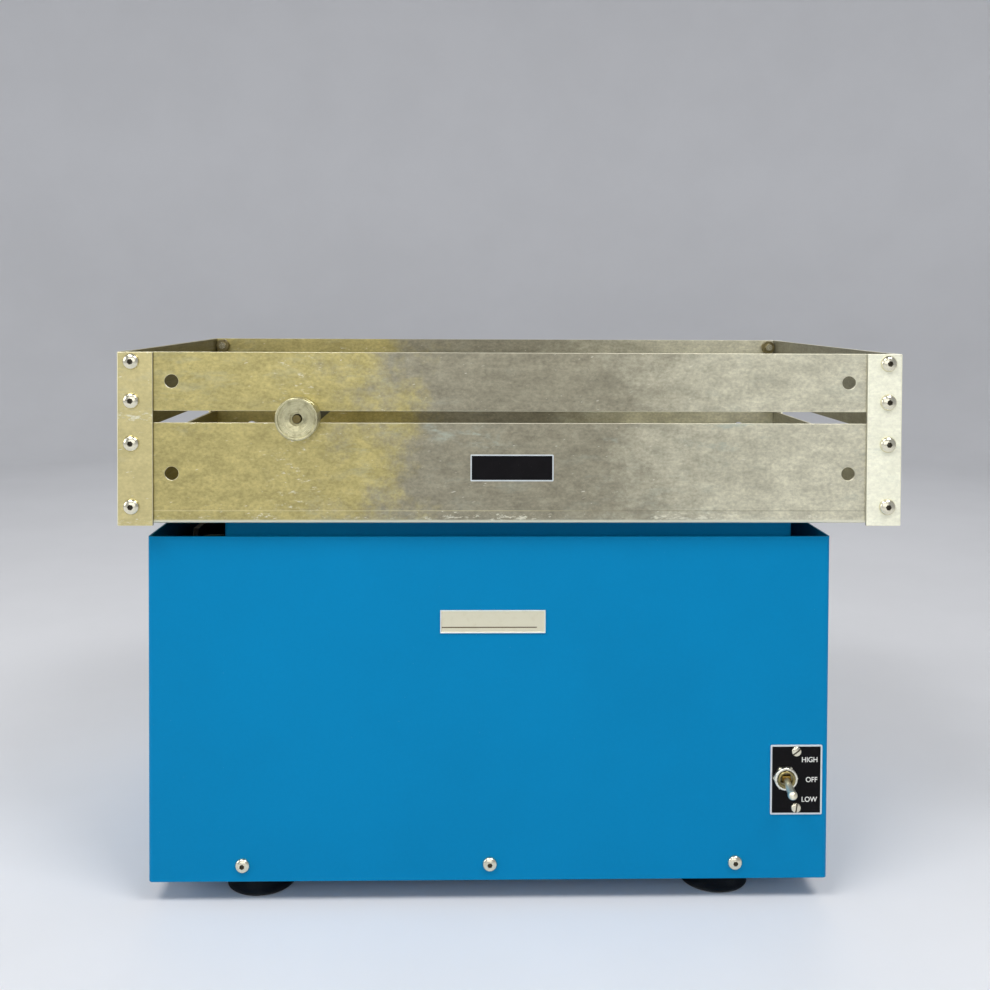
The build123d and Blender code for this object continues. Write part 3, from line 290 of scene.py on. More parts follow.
def oxide_bloom(add, place, rolled, height, slot):
    """Old oxide: faint blue-grey bloom in patches, strongest beside the slots."""
    beside = near(add, height, slot - 11 * MM, 16 * MM)
    bloom = add("noise", add("stretch", rolled, (1 / 3, 1, 1)), every(9), 6.0, 0.72)
    clouds = add("noise", place, every(70), 2.0, 0.55)
    bloom = add("times", add("spread", bloom, 0.50, 0.66), add("spread", clouds, 0.42, 0.58))
    return add("times", bloom, add("plus", add("times", beside, 0.75), 0.18))


def scuffs(add, place, rolled, along, height, level, foot, slot):
    """Rubs where the walls are handled: at their foot, along the slots' edges and round the knob."""
    groups = add("spread", add("noise", place, every(60), 2.0, 0.55), 0.40, 0.62, 0.5, 1.5)
    handled = add("times", near(add, height, foot + 2 * MM, 10 * MM), groups)
    handled = add("larger", handled, near(add, height, slot, 8 * MM))
    knob = box_centre(*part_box("knob_front")).x
    handled = add("larger", handled, add("times", near(add, along, knob, 42 * MM), 0.6))
    # The floor is left out.
    handled = add("times", handled, add("minus", 1.0, level))
    rubs = add("noise", add("stretch", rolled, (1 / 3, 1, 1)), every(2.1), 6.0, 0.78)
    return add("spread", add("plus", rubs, add("times", handled, 0.15)), 0.66, 0.75)


def mill_aluminium(name, left, middle, right, chalk, patchy, fold_mark=0.0):
    """Rolled aluminium left bare: rolling marks, handling scratches, scuffs at the edges and patches of old oxide.

    Towards the right end the oxide is chalky, which scatters the light instead of mirroring it.
    """
    material, add, place = new_material(name)
    rolled = rolled_direction(add, place)
    along, _, height = add("split", place)
    normal = add("split", add("coordinates")["Normal"])
    end_on, front_on, level = (add("size", part) for part in normal)
    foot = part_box("tray_pan")[0].z
    slot = (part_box("front_rail")[0].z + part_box("tray_pan")[1].z) / 2

    # Rolling marks are some 60 mm long and a few tenths wide.
    marks = add("noise", add("stretch", rolled, (1 / 70, 1, 1)), every(0.7), 3.0, 0.6)
    broad = add("noise", add("stretch", rolled, (1 / 2, 1, 1)), every(8), 6.0, 0.68)
    mottle = add("noise", add("stretch", rolled, (1 / 1.4, 1, 1)), every(2), 6.0, 0.78)
    value = add("times", add("spread", marks, 0.25, 0.75, 0.97, 1.03), add("spread", broad, 0.3, 0.7, 0.84, 1.12))
    value = add("times", value, add("spread", mottle, 0.3, 0.7, 0.80, 1.15))
    value = add("plus", add("times", value, patchy), 1.0 - patchy)
    tone = add("shade", tone_along_tray(add, place, along, left, middle, right), value)
    bloom = oxide_bloom(add, place, rolled, height, slot)
    tone = add("blend", bloom, tone, linear("#B4BDB0"))
    tone = stained(add, tone, scuffs(add, place, rolled, along, height, level, foot, slot), 0.8, "#E9E7D2")
    # Handling scratches are finer than this, which is as fine as shows.
    slanted = add("slant", rolled, (0.0, 0.22, 0.15))
    lines = add("noise", add("stretch", slanted, (1 / 26, 1, 1)), every(0.8), 1.0, 0.55)
    scratch = add("spread", lines, 0.755, 0.80)
    tone = stained(add, tone, scratch, 0.7, "#EEECDD")
    # Painted highlight: broken edges and bends, where the surface faces none of the three axes, are painted near-white.
    pale_marks = add("spread", add("larger", add("larger", end_on, front_on), level), 0.80, 0.985, 0.9, 0.0)
    tone = add("blend", pale_marks, tone, linear("#F8F3D8"))
    # Painted shade: the inner faces of the tray's two ends are darkened, for the shadow inside the tray.
    inner_end_shade = add("spread", add("times", along, normal[0]), -0.20, -0.08, 0.6, 0.0)
    tone = add("blend", inner_end_shade, tone, linear("#3F3C2E"))
    # The line of the fold is pale towards the left end and dark towards the right.
    fold = near(add, height, foot + FOLD_RISE, 0.4 * MM)
    line = add("blend", add("spread", along, -0.02, 0.10), linear("#E6DEB2"), linear("#6B6852"))
    tone = add("blend", add("times", fold, fold_mark), tone, line)

    rough = add("plus", add("spread", marks, 0.3, 0.7, 0.34, 0.46), add("times", bloom, 0.15))
    relief = add("plus", add("times", marks, 0.6), add("times", scratch, -0.6))
    relief = add("plus", relief, add("times", mottle, 0.5))
    bare = add("spread", along, *CHALK_FROM, 1.0, 1.0 - chalk)
    # The painted highlight on the edges is also made less metallic, so that it reads bright.
    bare = add("times", bare, add("minus", 1.0, add("times", pale_marks, 0.7)))
    return surfaced(material, tone, rough, add("bump", relief, 0.014 * MM), bare)


def turned_metal(name, code, axis, centre, rough_low, rough_high):
    """Metal faced on a lathe: fine rings round the piece's own axis catch the light as a double fan."""
    material, add, place = new_material(name)
    from_axis = add("away", place, tuple(centre))
    radius = add("length", add("scaled", from_axis, tuple(1.0 - abs(a) for a in axis)))
    ring = add("join", radius, add("dot", from_axis, tuple(axis)))
    # A tool mark every fifth of a millimetre is drawn somewhat coarser, so that it shows.
    marks = add("noise", ring, every(0.35), 2.0, 0.7)
    wide = add("noise", ring, every(1.6), 1.0, 0.55)
    dull = add("noise", place, every(4), 4.0, 0.55)
    tone = add("shade", linear(code), add("spread", marks, 0.3, 0.7, 0.86, 1.08))
    tone = stained(add, tone, add("spread", dull, 0.45, 0.68), 0.5, "#857E5F")
    rough = add("spread", wide, 0.3, 0.7, rough_low, rough_high)
    rough = add("plus", rough, add("spread", dull, 0.4, 0.8, 0.0, 0.08))
    return surfaced(material, tone, rough, add("bump", marks, 0.014 * MM), 1.0)


def bright_metal(name, code, rough, grain_mm=1.2, stain="#8E8A7C", stain_share=0.25):
    """Rolled, drawn or plated metal for small parts: bright, faintly scratched, with dull spots."""
    material, add, place = new_material(name)
    grain = add("noise", place, every(grain_mm), 4.0, 0.65)
    spots = add("noise", place, every(5.0 * grain_mm), 4.0, 0.6)
    tone = stained(add, linear(code), add("spread", spots, 0.5, 0.72), stain_share, stain)
    rough_map = add("spread", grain, 0.3, 0.7, rough, rough + 0.12)
    return surfaced(material, tone, rough_map, add("bump", grain, 0.004 * MM), 1.0)


def moulded(name, code, rough, grain_mm, depth_mm, dust="#6E6C68", dust_share=0.15):
    """Moulded rubber or plastic: an even colour under a fine grain, with dust in the hollows of the grain."""
    material, add, place = new_material(name)
    grain = add("noise", place, every(grain_mm), 3.0, 0.55)
    cloud = add("noise", place, every(18), 4.0, 0.55)
    tone = stained(add, linear(code), add("spread", cloud, 0.45, 0.75), dust_share, dust)
    rough_map = add("spread", grain, 0.3, 0.7, rough, rough + 0.15)
    return surfaced(material, tone, rough_map, add("bump", grain, depth_mm * MM), ior=1.5)


def printed_black(name):
    """Black silk-screen print baked on an anodised plate: a satin film with a few rubbed spots."""
    material, add, place = new_material(name)
    cloud = add("noise", place, every(9), 5.0, 0.65)
    pale_marks = add("spread", add("noise", place, every(0.8), 2.0, 0.55), 0.70, 0.80)
    cloudy = add("spread", cloud, 0.4, 0.7, 0.0, 0.5)
    tone = add("blend", cloudy, chosen("black"), linear("#141214"))
    tone = stained(add, tone, pale_marks, 0.3, "#5E5C5A")
    rough = add("spread", cloud, 0.3, 0.7, 0.32, 0.5)
    normal = add("bump", add("noise", place, every(0.6), 2.0, 0.55), 0.004 * MM)
    return surfaced(material, tone, rough, normal, ior=1.5, specular=0.09)


def printed_ink(name):
    """White screen ink: matt and slightly uneven at its edges."""
    material, add, place = new_material(name)
    patch = add("noise", place, every(1.2), 3.0, 0.55)
    uneven = add("spread", patch, 0.45, 0.75, 0.0, 0.6)
    tone = add("blend", uneven, chosen("ink"), linear("#B9B9B2"))
    return surfaced(material, tone, add("spread", patch, 0.3, 0.7, 0.45, 0.6), ior=1.5)


def cast_paint(name, code):
    """Hammered machine paint on a casting: a rough skin with shallow dimples some 3 mm across."""
    material, add, place = new_material(name)
    dimples = add("dimples", place, every(3))
    skin = add("noise", place, every(0.9), 4.0, 0.7)
    tone = add("shade", linear(code), add("spread", skin, 0.3, 0.7, 0.85, 1.1))
    relief = add("plus", dimples, add("times", skin, 0.3))
    rough = add("spread", skin, 0.3, 0.7, 0.42, 0.6)
    return surfaced(material, tone, rough, add("bump", relief, 0.12 * MM), ior=1.5)


def laminated_steel(name):
    """Stamped electrical sheet, stacked: a dark line between the sheets, and a little rust."""
    material, add, place = new_material(name)
    # The sheets are half a millimetre thick. Each line stands for seven of them, so that the lines show.
    height = add("split", place)[2]
    wave = add("sine", add("times", height, 2 * pi * every(3.5)))
    rust = add("spread", add("noise", place, every(14), 5.0, 0.65), 0.5, 0.75)
    tone = add("blend", add("spread", wave, -0.6, 0.6), linear("#3A3835"), linear("#77736C"))
    tone = stained(add, tone, rust, 0.6, "#5B3A24")
    return surfaced(material, tone, 0.5, add("bump", wave, 0.08 * MM), 1.0)


def matt_laminate(name):
    """Matt pale laminate: even, with a barely visible cloudiness."""
    material, add, place = new_material(name)
    cloud = add("noise", place, every(220), 4.0, 0.55)
    tone = add("shade", chosen("floor"), add("spread", cloud, 0.3, 0.7, 0.985, 1.015))
    return surfaced(material, tone, 0.62, ior=1.45)


# The maker of each finish and what it is given after the name.
FINISHES = {
    "housing_enamel": (enamel_material, "enamel"),
    "platform_enamel": (enamel_material, "platform"),
    "rolled_sheet": (mill_aluminium, "#BCB076", "#999480", "#D4D0B8", 0.35, 1.0, 0.55),
    "rolled_angle": (mill_aluminium, "#D0C48F", "#C8C3A0", "#F4F3DC", 0.75, 0.5),
    "stainless_screws": (bright_metal, "#E4DFC9", 0.17),
    # The studs are dark olive-brown.
    "aged_studs": (bright_metal, "#6F6440", 0.36, 1.0, "#33280F", 0.8),
    # Painted shade: the nuts inside the tray are darkened to dark bronze, for the shadow they sit in.
    "tarnished_nuts": (bright_metal, "#8E8360", 0.34, 1.0, "#463A22", 0.7),
    # Painted shade: the inside of the screws' sockets and slots is dark.
    "socket_grime": (moulded, "#4B4535", 0.6, 0.4, 0.01, "#6E664E", 0.35),
    "zinc_plate": (bright_metal, "#B9B7A8", 0.32, 2.0, "#8F8252", 0.5),
    "ground_shafting": (bright_metal, "#C6C6C4", 0.14, 0.8, "#9A9488", 0.3),
    "badge_nickel": (bright_metal, "#DFDBC3", 0.36, 0.9, "#C6BE9C", 0.2),
    "badge_rim": (bright_metal, "#F1F3EC", 0.30, 0.9, "#C5C6B4", 0.2),
    "line_enamel": (moulded, "#54421E", 0.4, 0.5, 0.004),
    "border_nickel": (bright_metal, "#DCE2E4", 0.30, 0.8, "#A9B4B8", 0.2),
    "nickel_nuts": (bright_metal, "#EFEDDF", 0.22, 0.8, "#B3AA7C", 0.35),
    "brass_bushing": (bright_metal, "#9A8F62", 0.30, 0.8, "#4E3A1A", 0.8),
    "oiled_brass": (bright_metal, "#6A5526", 0.38, 0.8, "#3A2A10", 0.6),
    "lever_chrome": (bright_metal, "#F6F0DA", 0.30, 1.5, "#C4B48A", 0.35),
    "sintered_bronze": (bright_metal, "#A87B45", 0.38, 0.6, "#6C4E2B", 0.4),
    "bar_aluminium": (bright_metal, "#BDBBB0", 0.34, 1.6, "#8D8870", 0.5),
    # Painted shade: the crossbar is darkened far below bare aluminium, for the shadow inside the tray.
    "sawn_bar": (bright_metal, "#4A4638", 0.42, 1.6, "#332F22", 0.6),
    "foot_rubber": (moulded, "#141416", 0.55, 0.8, 0.02),
    "belt_rubber": (moulded, "#1B1A19", 0.7, 0.6, 0.03, "#56524D", 0.3),
    "black_moulding": (moulded, "#151515", 0.4, 0.5, 0.01),
    "black_print": (printed_black,),
    "white_ink": (printed_ink,),
    "hammered_paint": (cast_paint, "#4D5B57"),
    "motor_paint": (cast_paint, "#3B3F42"),
    # Painted shade: the end frames are near-black, for the shadow in the gap under the tray.
    "frame_paint": (cast_paint, "#0B0C0D"),
    "motor_laminations": (laminated_steel,),
    "studio_laminate": (matt_laminate,),
}


def finish(name):
    """The material of that name, made when it is first asked for."""
    maker, *given = FINISHES[name]
    return bpy.data.materials.get(name) or maker(name, *given)


# --- Meshes -----------------------------------------------------------------------------------
def merged(node):
    """A copy of a CAD node's mesh with its loose triangles joined."""
    solid = bmesh.new()
    solid.from_mesh(frame["nodes"][node].data)
    bmesh.ops.remove_doubles(solid, verts=solid.verts, dist=WELD)
    return solid


def welded(node):
    """The solid of a CAD node as a closed mesh with whole flat faces."""
    solid = merged(node)
    bmesh.ops.dissolve_limit(solid, angle_limit=radians(0.4), verts=solid.verts, edges=solid.edges)
    return solid


def islands(node):
    """The lowest and highest corner of each separate solid in a CAD node."""
    solid = merged(node)
    left = set(solid.verts)
    found = []
    while left:
        seed = left.pop()
        group, edge = [seed], [seed]
        while edge:
            reached = {e.other_vert(v) for v in edge for e in v.link_edges} & left
            left -= reached
            edge = list(reached)
            group += edge
        found.append(tuple(Vector([end(v.co[i] for v in group) for i in range(3)]) for end in (min, max)))
    solid.free()
    return sorted(found, key=lambda box: tuple(box[0]))


def box_centre(low, high):
    return (low + high) / 2


def half_width(low, high):
    return max(high - low) / 2


def shown(shape, name, finishes):
    """Puts a shape into the scene as an object in its finishes, and frees the shape."""
    mesh = bpy.data.meshes.new(name)
    shape.to_mesh(mesh)
    shape.free()
    piece = bpy.data.objects.new(name, mesh)
    bpy.context.scene.collection.objects.link(piece)
    for finish_name in finishes:
        mesh.materials.append(finish(finish_name))
    return piece


def settled(piece):
    """Turns a piece's modifiers into its mesh."""
    bpy.context.view_layer.update()
    graph = bpy.context.evaluated_depsgraph_get()
    mesh = bpy.data.meshes.new_from_object(piece.evaluated_get(graph))
    piece.modifiers.clear()
    old = piece.data
    piece.data = mesh
    bpy.data.meshes.remove(old)
    return piece


def smoothed(piece, angle=35.0):
    piece.data.shade_smooth()
    piece.data.set_sharp_from_angle(angle=radians(angle))
    return piece


def edged(piece, width, segments=2):
    """Rounds the piece's sharp edges."""
    smoothed(piece)
    bevel = piece.modifiers.new("edges", "BEVEL")
    bevel.width = width
    bevel.segments = segments
    bevel.limit_method = "ANGLE"
    bevel.angle_limit = radians(30)
    bevel.use_clamp_overlap = False
    bevel.harden_normals = True
    return settled(piece)


def set_in(piece, body, slot, *nodes):
    """The piece rides on a body and stands for CAD nodes. The slot is not used."""
    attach(piece, body)
    if nodes:
        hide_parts(*nodes)


def body_of(node):
    return frame["nodes"][node]["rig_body"]


def dressed(node, name, slot, finish_name, width, segments=2):
    """A CAD solid with rounded edges and its real finish."""
    piece = edged(shown(welded(node), name, [finish_name]), width, segments)
    set_in(piece, body_of(node), slot, node)


def turned(profile, sides, place=Matrix.Identity(4), shape=None):
    """Turns (radius, height) points round Z. The profile runs anticlockwise seen with Z up and the axis on the left."""
    shape = shape or bmesh.new()
    angles = [2 * pi * i / sides for i in range(sides)]
    rings = []
    for radius, height in profile:
        if radius < WELD:
            rings.append([shape.verts.new(place @ Vector((0, 0, height)))])
            continue
        rings.append([
            shape.verts.new(place @ Vector((radius * cos(angle), radius * sin(angle), height))) for angle in angles
        ])
    for lower, upper in zip(rings, rings[1:] + rings[:1]):
        for i in range(sides):
            j = (i + 1) % sides
            corners = [lower[i % len(lower)], lower[j % len(lower)], upper[j % len(upper)], upper[i % len(upper)]]
            corners = list(dict.fromkeys(corners))
            if len(corners) > 2:
                shape.faces.new(corners)
    return shape


def arc(centre_r, centre_z, radius, start, end, steps=6):
    """Points of an arc in a profile, from one angle to another, in degrees."""
    angles = [radians(start + (end - start) * i / steps) for i in range(steps + 1)]
    return [(centre_r + radius * cos(angle), centre_z + radius * sin(angle)) for angle in angles]


def slab(shape, low, high):
    """A box in a mesh."""
    made = bmesh.ops.create_cube(shape, size=1.0)
    for vert in made["verts"]:
        vert.co = Vector([low[i] + (vert.co[i] + 0.5) * (high[i] - low[i]) for i in range(3)])
    return made["verts"]


def framed_slab(shape, low, high, rim, sink):
    """A plate that faces the front, with a field sunk inside its rim. Returns the field's face."""
    slope = 0.15 * MM
    verts = slab(shape, low, high)
    front = next(f for f in shape.faces if all(v.co.y < low.y + WELD and v in verts for v in f.verts))
    for width in (rim, slope):
        bmesh.ops.inset_region(shape, faces=[front], thickness=width)
    for vert in front.verts:
        vert.co.y += sink
    return front


# A printed field lies this far below its bare metal border.
PRINT_SINK = 0.12 * MM


def bordered_plate(node, name, border, corner):
    """A printed plate: bare metal border and rounded corners round a black field."""
    low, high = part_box(node)
    shape = bmesh.new()
    framed_slab(shape, low, high, border, PRINT_SINK).material_index = 1
    thick = high.y - low.y
    uprights = [e for e in shape.edges if abs(e.verts[0].co.y - e.verts[1].co.y) > 0.5 * thick]
    bmesh.ops.bevel(shape, geom=uprights, offset=corner, segments=4, affect="EDGES", profile=0.5)
    plate = edged(shown(shape, name, ["border_nickel", "black_print"]), 0.1 * MM)
    set_in(plate, body_of(node), "black_label", node)


def standing(point, direction):
    """A place whose Z axis leaves the point in that direction."""
    return Matrix.Translation(point) @ direction.to_track_quat("Z", "Y").to_matrix().to_4x4()


# --- Geometry Nodes for the fasteners ---------------------------------------------------------
def new_tree(name, measures):
    """A tree with the seats in and the fasteners out, what adds its nodes, and what it is given."""
    tree = bpy.data.node_groups.new(name, "GeometryNodeTree")
    sockets = {"Seats": "Geometry"} | dict.fromkeys(measures, "Float")
    sockets |= {"Seed": "Int", "Turn range": "Float", "Material": "Material", "Recess": "Material"}
    for label, kind in sockets.items():
        tree.interface.new_socket(name=label, in_out="INPUT", socket_type=f"NodeSocket{kind}")
    tree.interface.new_socket(name="Fasteners", in_out="OUTPUT", socket_type="NodeSocketGeometry")
    add = adder(tree)
    return tree, add, add("given")


def cylinder(add, sides, radius, depth, low, rings=1, fill=1):
    """A cylinder about Z whose foot is at a height."""
    solid = add("cylinder", sides, rings, fill, radius, depth)
    middle = add("plus", low, add("times", depth, 0.5))
    return add("move", solid, add("join", None, None, middle))


def set_out(add, given, fastener):
    """Copies of a fastener on the seats, each turned about its own axis by its own angle and by chance."""
    turn = add("face", add("own direction", "facing"))
    copies = add("set out", given["Seats"], fastener, turn)
    chance = add("chance", 0.0, given["Turn range"], given["Seed"])
    angle = add("plus", add("own number", "turn"), chance)
    whole = add("realize", add("turn", copies, add("join", None, None, angle)))
    # The recess keeps the finish that its cut left.
    metal = add("not", add("finished in", given["Recess"]))
    add("made", add("finish", whole, metal, given["Material"]))


# A screw's crown springs from a rim of this share of the head's height.
RIM_SHARE = 0.16
# A thread goes in and out of its middle by this share of the shank's radius.
THREAD_SHARE = 0.045


def screw_tree(name, drive):
    """A domed screw head over a threaded shank, with a hexagon socket or a slot."""
    tree, add, given = new_tree(name, (
        "Head radius", "Head height", "Head sink", "Roundness", "Shank radius", "Shank length", "Pitch",
        "Drive width", "Drive depth",
    ))
    radius, height, sink = given["Head radius"], given["Head height"], given["Head sink"]
    width, depth = given["Drive width"], given["Drive depth"]
    blank = cylinder(add, 40, radius, add("plus", height, sink), add("times", sink, -1.0), fill=10)
    spot = add("position")
    x, y, z = add("split", spot)
    # The crown springs from a short upright rim and falls off towards it as the roundness says.
    share = add("over", add("length", add("join", x, y)), radius)
    fall = add("minus", 1.0, add("power", share, given["Roundness"]))
    dome = add("root", add("larger", fall, 0.0))
    rise = add("times", height, add("plus", RIM_SHARE, add("times", dome, 1.0 - RIM_SHARE)))
    on_top = add("above", z, add("times", height, 0.5))
    head = add("place", blank, on_top, add("join", x, y, rise))
    # The cutter starts at the recess's floor and stands well clear of the crown.
    floor, tall = add("minus", height, depth), add("times", depth, 2.0)
    if drive == "socket":
        tool = cylinder(add, 6, add("times", width, FLATS_TO_CORNER), tall, floor)
    else:
        block = add("slab", add("join", add("times", radius, 3.0), width, tall))
        tool = add("move", block, add("join", None, None, add("plus", floor, depth)))
    # The cut is painted dark, as painted shade inside the recess.
    tool = add("finish", tool, None, given["Recess"])
    head = add("cut", add("finish", head, None, given["Material"]), tool)
    below = add("minus", given["Shank length"], sink)
    foot = add("times", given["Shank length"], -1.0)
    shank = cylinder(add, 20, given["Shank radius"], below, foot, 24)
    wave = add("sine", add("times", z, add("over", 2 * pi, given["Pitch"])))
    waist = add("plus", 1.0 - THREAD_SHARE, add("times", wave, THREAD_SHARE))
    thread = add("scaled", spot, add("join", waist, waist, 1.0))
    set_out(add, given, add("both", head, add("place", shank, None, thread)))
    return tree


def nut_tree(name):
    """A hexagon nut with its corners turned off and a bore."""
    tree, add, given = new_tree(name, ("Across flats", "Thickness", "Bore radius"))
    flats, thick = given["Across flats"], given["Thickness"]
    half = add("times", thick, -0.5)
    blank = cylinder(add, 6, add("times", flats, FLATS_TO_CORNER), thick, half)
    # A ball that just clears the flats takes the corners off both faces.
    reach = add("times", flats, 0.5)
    square = add("plus", add("times", reach, reach), add("times", half, half))
    blank = add("common", blank, add("ball", 36, 24, add("root", square)))
    tall, foot = add("times", thick, 2.0), add("times", thick, -1.0)
    set_out(add, given, add("cut", blank, cylinder(add, 24, given["Bore radius"], tall, foot)))
    return tree


def fastened(name, tree, seats, values):
    """Sets fasteners out on (point, direction, turn) seats and returns them as one plain mesh."""
    values = {"Turn range": 2 * pi, "Recess": finish("socket_grime")} | values
    mesh = bpy.data.meshes.new(name)
    mesh.from_pydata([seat[0] for seat in seats], [], [])
    mesh.attributes.new("facing", "FLOAT_VECTOR", "POINT")
    mesh.attributes.new("turn", "FLOAT", "POINT")
    for i, seat in enumerate(seats):
        mesh.attributes["facing"].data[i].vector = seat[1]
        mesh.attributes["turn"].data[i].value = seat[2] if len(seat) > 2 else 0.0
    piece = bpy.data.objects.new(name, mesh)
    bpy.context.scene.collection.objects.link(piece)
    modifier = piece.modifiers.new("fasteners", "NODES")
    modifier.node_group = tree
    for item in tree.interface.items_tree:
        if item.in_out == "INPUT" and item.name in values:
            modifier[item.identifier] = values[item.name]
    settled(piece)
    if len(piece.data.polygons) < len(seats):
        raise RuntimeError(f"{name} came out empty")
    return smoothed(piece, 30.0)


def tree_named(name):
    """The fastener tree of that name, made when it is first asked for."""
    makers = {
        "Socket screw": lambda: screw_tree("Socket screw", "socket"),
        "Slotted screw": lambda: screw_tree("Slotted screw", "slot"),
        "Hexagon nut": lambda: nut_tree("Hexagon nut"),
    }
    return bpy.data.node_groups.get(name) or makers[name]()


def wall_seats(node, front_y, rear_y):
    """Seats of screws that stand on the front and rear walls."""
    seats = []
    for low, high in islands(node):
        spot = box_centre(low, high)
        wall, way = (front_y, TO_FRONT) if spot.y < 0 else (rear_y, TO_REAR)
        seats.append((Vector((spot.x, wall, spot.z)), way))
    return seats


# --- Operators --------------------------------------------------------------------------------
class ShakerOperator:
    """What all the operators share."""

    bl_options = {"REGISTER", "UNDO"}


class SHAKER_OT_stage(ShakerOperator, bpy.types.Operator):
    """Pale bench top that runs up into a backdrop, soft lights and the camera"""

    bl_idname = "shaker.stage"
    bl_label = "Stage"

    # Where each light stands, how wide and high it is, its power in watts and the point that it faces.
    lights = {
        "overhead_left": ((-0.75, -0.95, 1.75), (0.9, 0.35), 15.0, (-0.1, -0.1, 0.25)),
        "overhead_right": ((0.75, -0.95, 1.75), (0.9, 0.35), 15.0, (0.1, -0.1, 0.25)),
        "front_fill": ((-0.2, -2.1, 0.85), (2.0, 1.2), 9.0, (0.0, 0.0, 0.2)),
        "left_fill": ((-2.2, -0.5, 0.9), (1.4, 1.0), 12.0, (-0.2, 0.0, 0.25)),
        "rear_fill": ((0.3, 1.9, 1.5), (1.8, 1.0), 8.0, (0.0, 0.0, 0.25)),
    }
    # The bench top is flat to this radius, runs up along this bend, and ends at this height.
    flat, bend, top, thick = 2.3, 0.9, 3.4, 0.1
    # The camera's place, and how far it looks down, aside and askew, in degrees.
    eye, down, aside, askew = (-0.0381, -0.9136, 0.4140), 1.278, 1.255, 0.242
    focal_mm, film_mm, shift = 41.1, 36.0, (0.01404, -0.16636)

    def execute(self, context):
        back = self.flat + self.bend
        sweep = [(0.0, 0.0), (self.flat, 0.0)] + arc(self.flat, self.bend, self.bend, -90, 0, 12)
        sweep += [(back, self.top), (back + self.thick, self.top), (back + self.thick, -self.thick)]
        sweep += [(0.0, -self.thick)]
        floor = smoothed(shown(turned(sweep[::-1], 96), "bench_top", ["studio_laminate"]), 60.0)
        for name, light in self.lights.items():
            self.light(name, *light)
        world = bpy.data.worlds.new("studio")
        world.use_nodes = True
        background = world.node_tree.nodes["Background"]
        background.inputs["Color"].default_value = linear("#F3F4F6")
        background.inputs["Strength"].default_value = 0.27
        context.scene.world = world
        context.scene.view_settings.view_transform = "Standard"
        self.camera()
        return {"FINISHED"}

    def light(self, name, place, size, power, target):
        lamp = bpy.data.lights.new(name, "AREA")
        lamp.shape = "RECTANGLE"
        lamp.size, lamp.size_y = size
        lamp.energy = power
        piece = bpy.data.objects.new(name, lamp)
        direction = Vector(target) - Vector(place)
        piece.matrix_world = Matrix.Translation(place) @ direction.to_track_quat("-Z", "Y").to_matrix().to_4x4()
        bpy.context.scene.collection.objects.link(piece)

    def camera(self):
        lens = bpy.data.cameras.new("camera")
        lens.lens = self.focal_mm
        lens.sensor_width = self.film_mm
        lens.shift_x, lens.shift_y = self.shift
        lens.clip_end = 20.0
        piece = bpy.data.objects.new("camera", lens)
        turn = (
            Matrix.Rotation(radians(-self.aside), 4, "Z")
            @ Matrix.Rotation(radians(90 - self.down), 4, "X")
            @ Matrix.Rotation(radians(self.askew), 4, "Z")
        )
        piece.matrix_world = Matrix.Translation(self.eye) @ turn
        bpy.context.scene.collection.objects.link(piece)
        bpy.context.scene.camera = piece


class SHAKER_OT_housing(ShakerOperator, bpy.types.Operator):
    """Enamelled housing shell, base pan and the bushing for the mains lead"""

    bl_idname = "shaker.housing"
    bl_label = "Housing"

    def execute(self, context):
        edge = sizes().sheet_edge
        dressed("housing_shell", "housing_sheet", "blue_enamel", "housing_enamel", edge, 3)
        dressed("base_pan", "base_sheet", "blue_enamel", "housing_enamel", edge)
        dressed("cord_gland", "cord_bushing", "black_plastic", "black_moulding", sizes().fine_edge)
        return {"FINISHED"}


class SHAKER_OT_feet(ShakerOperator, bpy.types.Operator):
    """Rubber suction feet with their studs and nuts"""

    bl_idname = "shaker.feet"
    bl_label = "Feet"

    def execute(self, context):
        shape = bmesh.new()
        for low, high in islands("feet"):
            spot = box_centre(low, high)
            rim, top = half_width(low, high), high.z
            stem, bore = 0.5 * rim, 0.24 * rim
            # The cup is hollow below. Its skirt rises from a lip to a stem with a groove round it.
            skirt = [
                (rim - (rim - stem) * share, 1.6 * MM + (0.42 * top) * share**1.7) for share in (0.25, 0.5, 0.75, 0.92)
            ]
            profile = [(0.0, 4.0 * MM), (0.42 * rim, 4.0 * MM), (rim - 2.6 * MM, 0.3 * MM), (rim - 1.9 * MM, 0.0)]
            profile += [(rim - 0.5 * MM, 0.0), (rim, 0.45 * MM), (rim, 1.1 * MM), (rim - 0.5 * MM, 1.6 * MM)]
            profile += skirt + [(stem, 0.52 * top), (stem, 0.70 * top), (stem - 0.4 * MM, 0.72 * top)]
            profile += [(stem - 0.4 * MM, 0.76 * top), (stem, 0.78 * top), (stem, top), (bore, top), (0.0, top)]
            turned(profile, sizes().turning, Matrix.Translation((spot.x, spot.y, 0)), shape)
        feet = smoothed(shown(shape, "suction_feet", ["foot_rubber"]), 40.0)
        set_in(feet, "housing", "black_rubber", "feet")
        dressed("foot_studs", "foot_stud_rods", "zinc_steel", "zinc_plate", sizes().fine_edge)
        seats = [(box_centre(low, high), UP) for low, high in islands("foot_nuts")]
        low, high = islands("foot_nuts")[0]
        nuts = fastened("foot_hexagons", tree_named("Hexagon nut"), seats, {
            "Across flats": min(high.x - low.x, high.y - low.y), "Thickness": high.z - low.z,
            "Bore radius": 3.0 * MM, "Seed": 3, "Material": finish("zinc_plate"),
        })
        set_in(nuts, "housing", "zinc_steel", "foot_nuts")
        return {"FINISHED"}


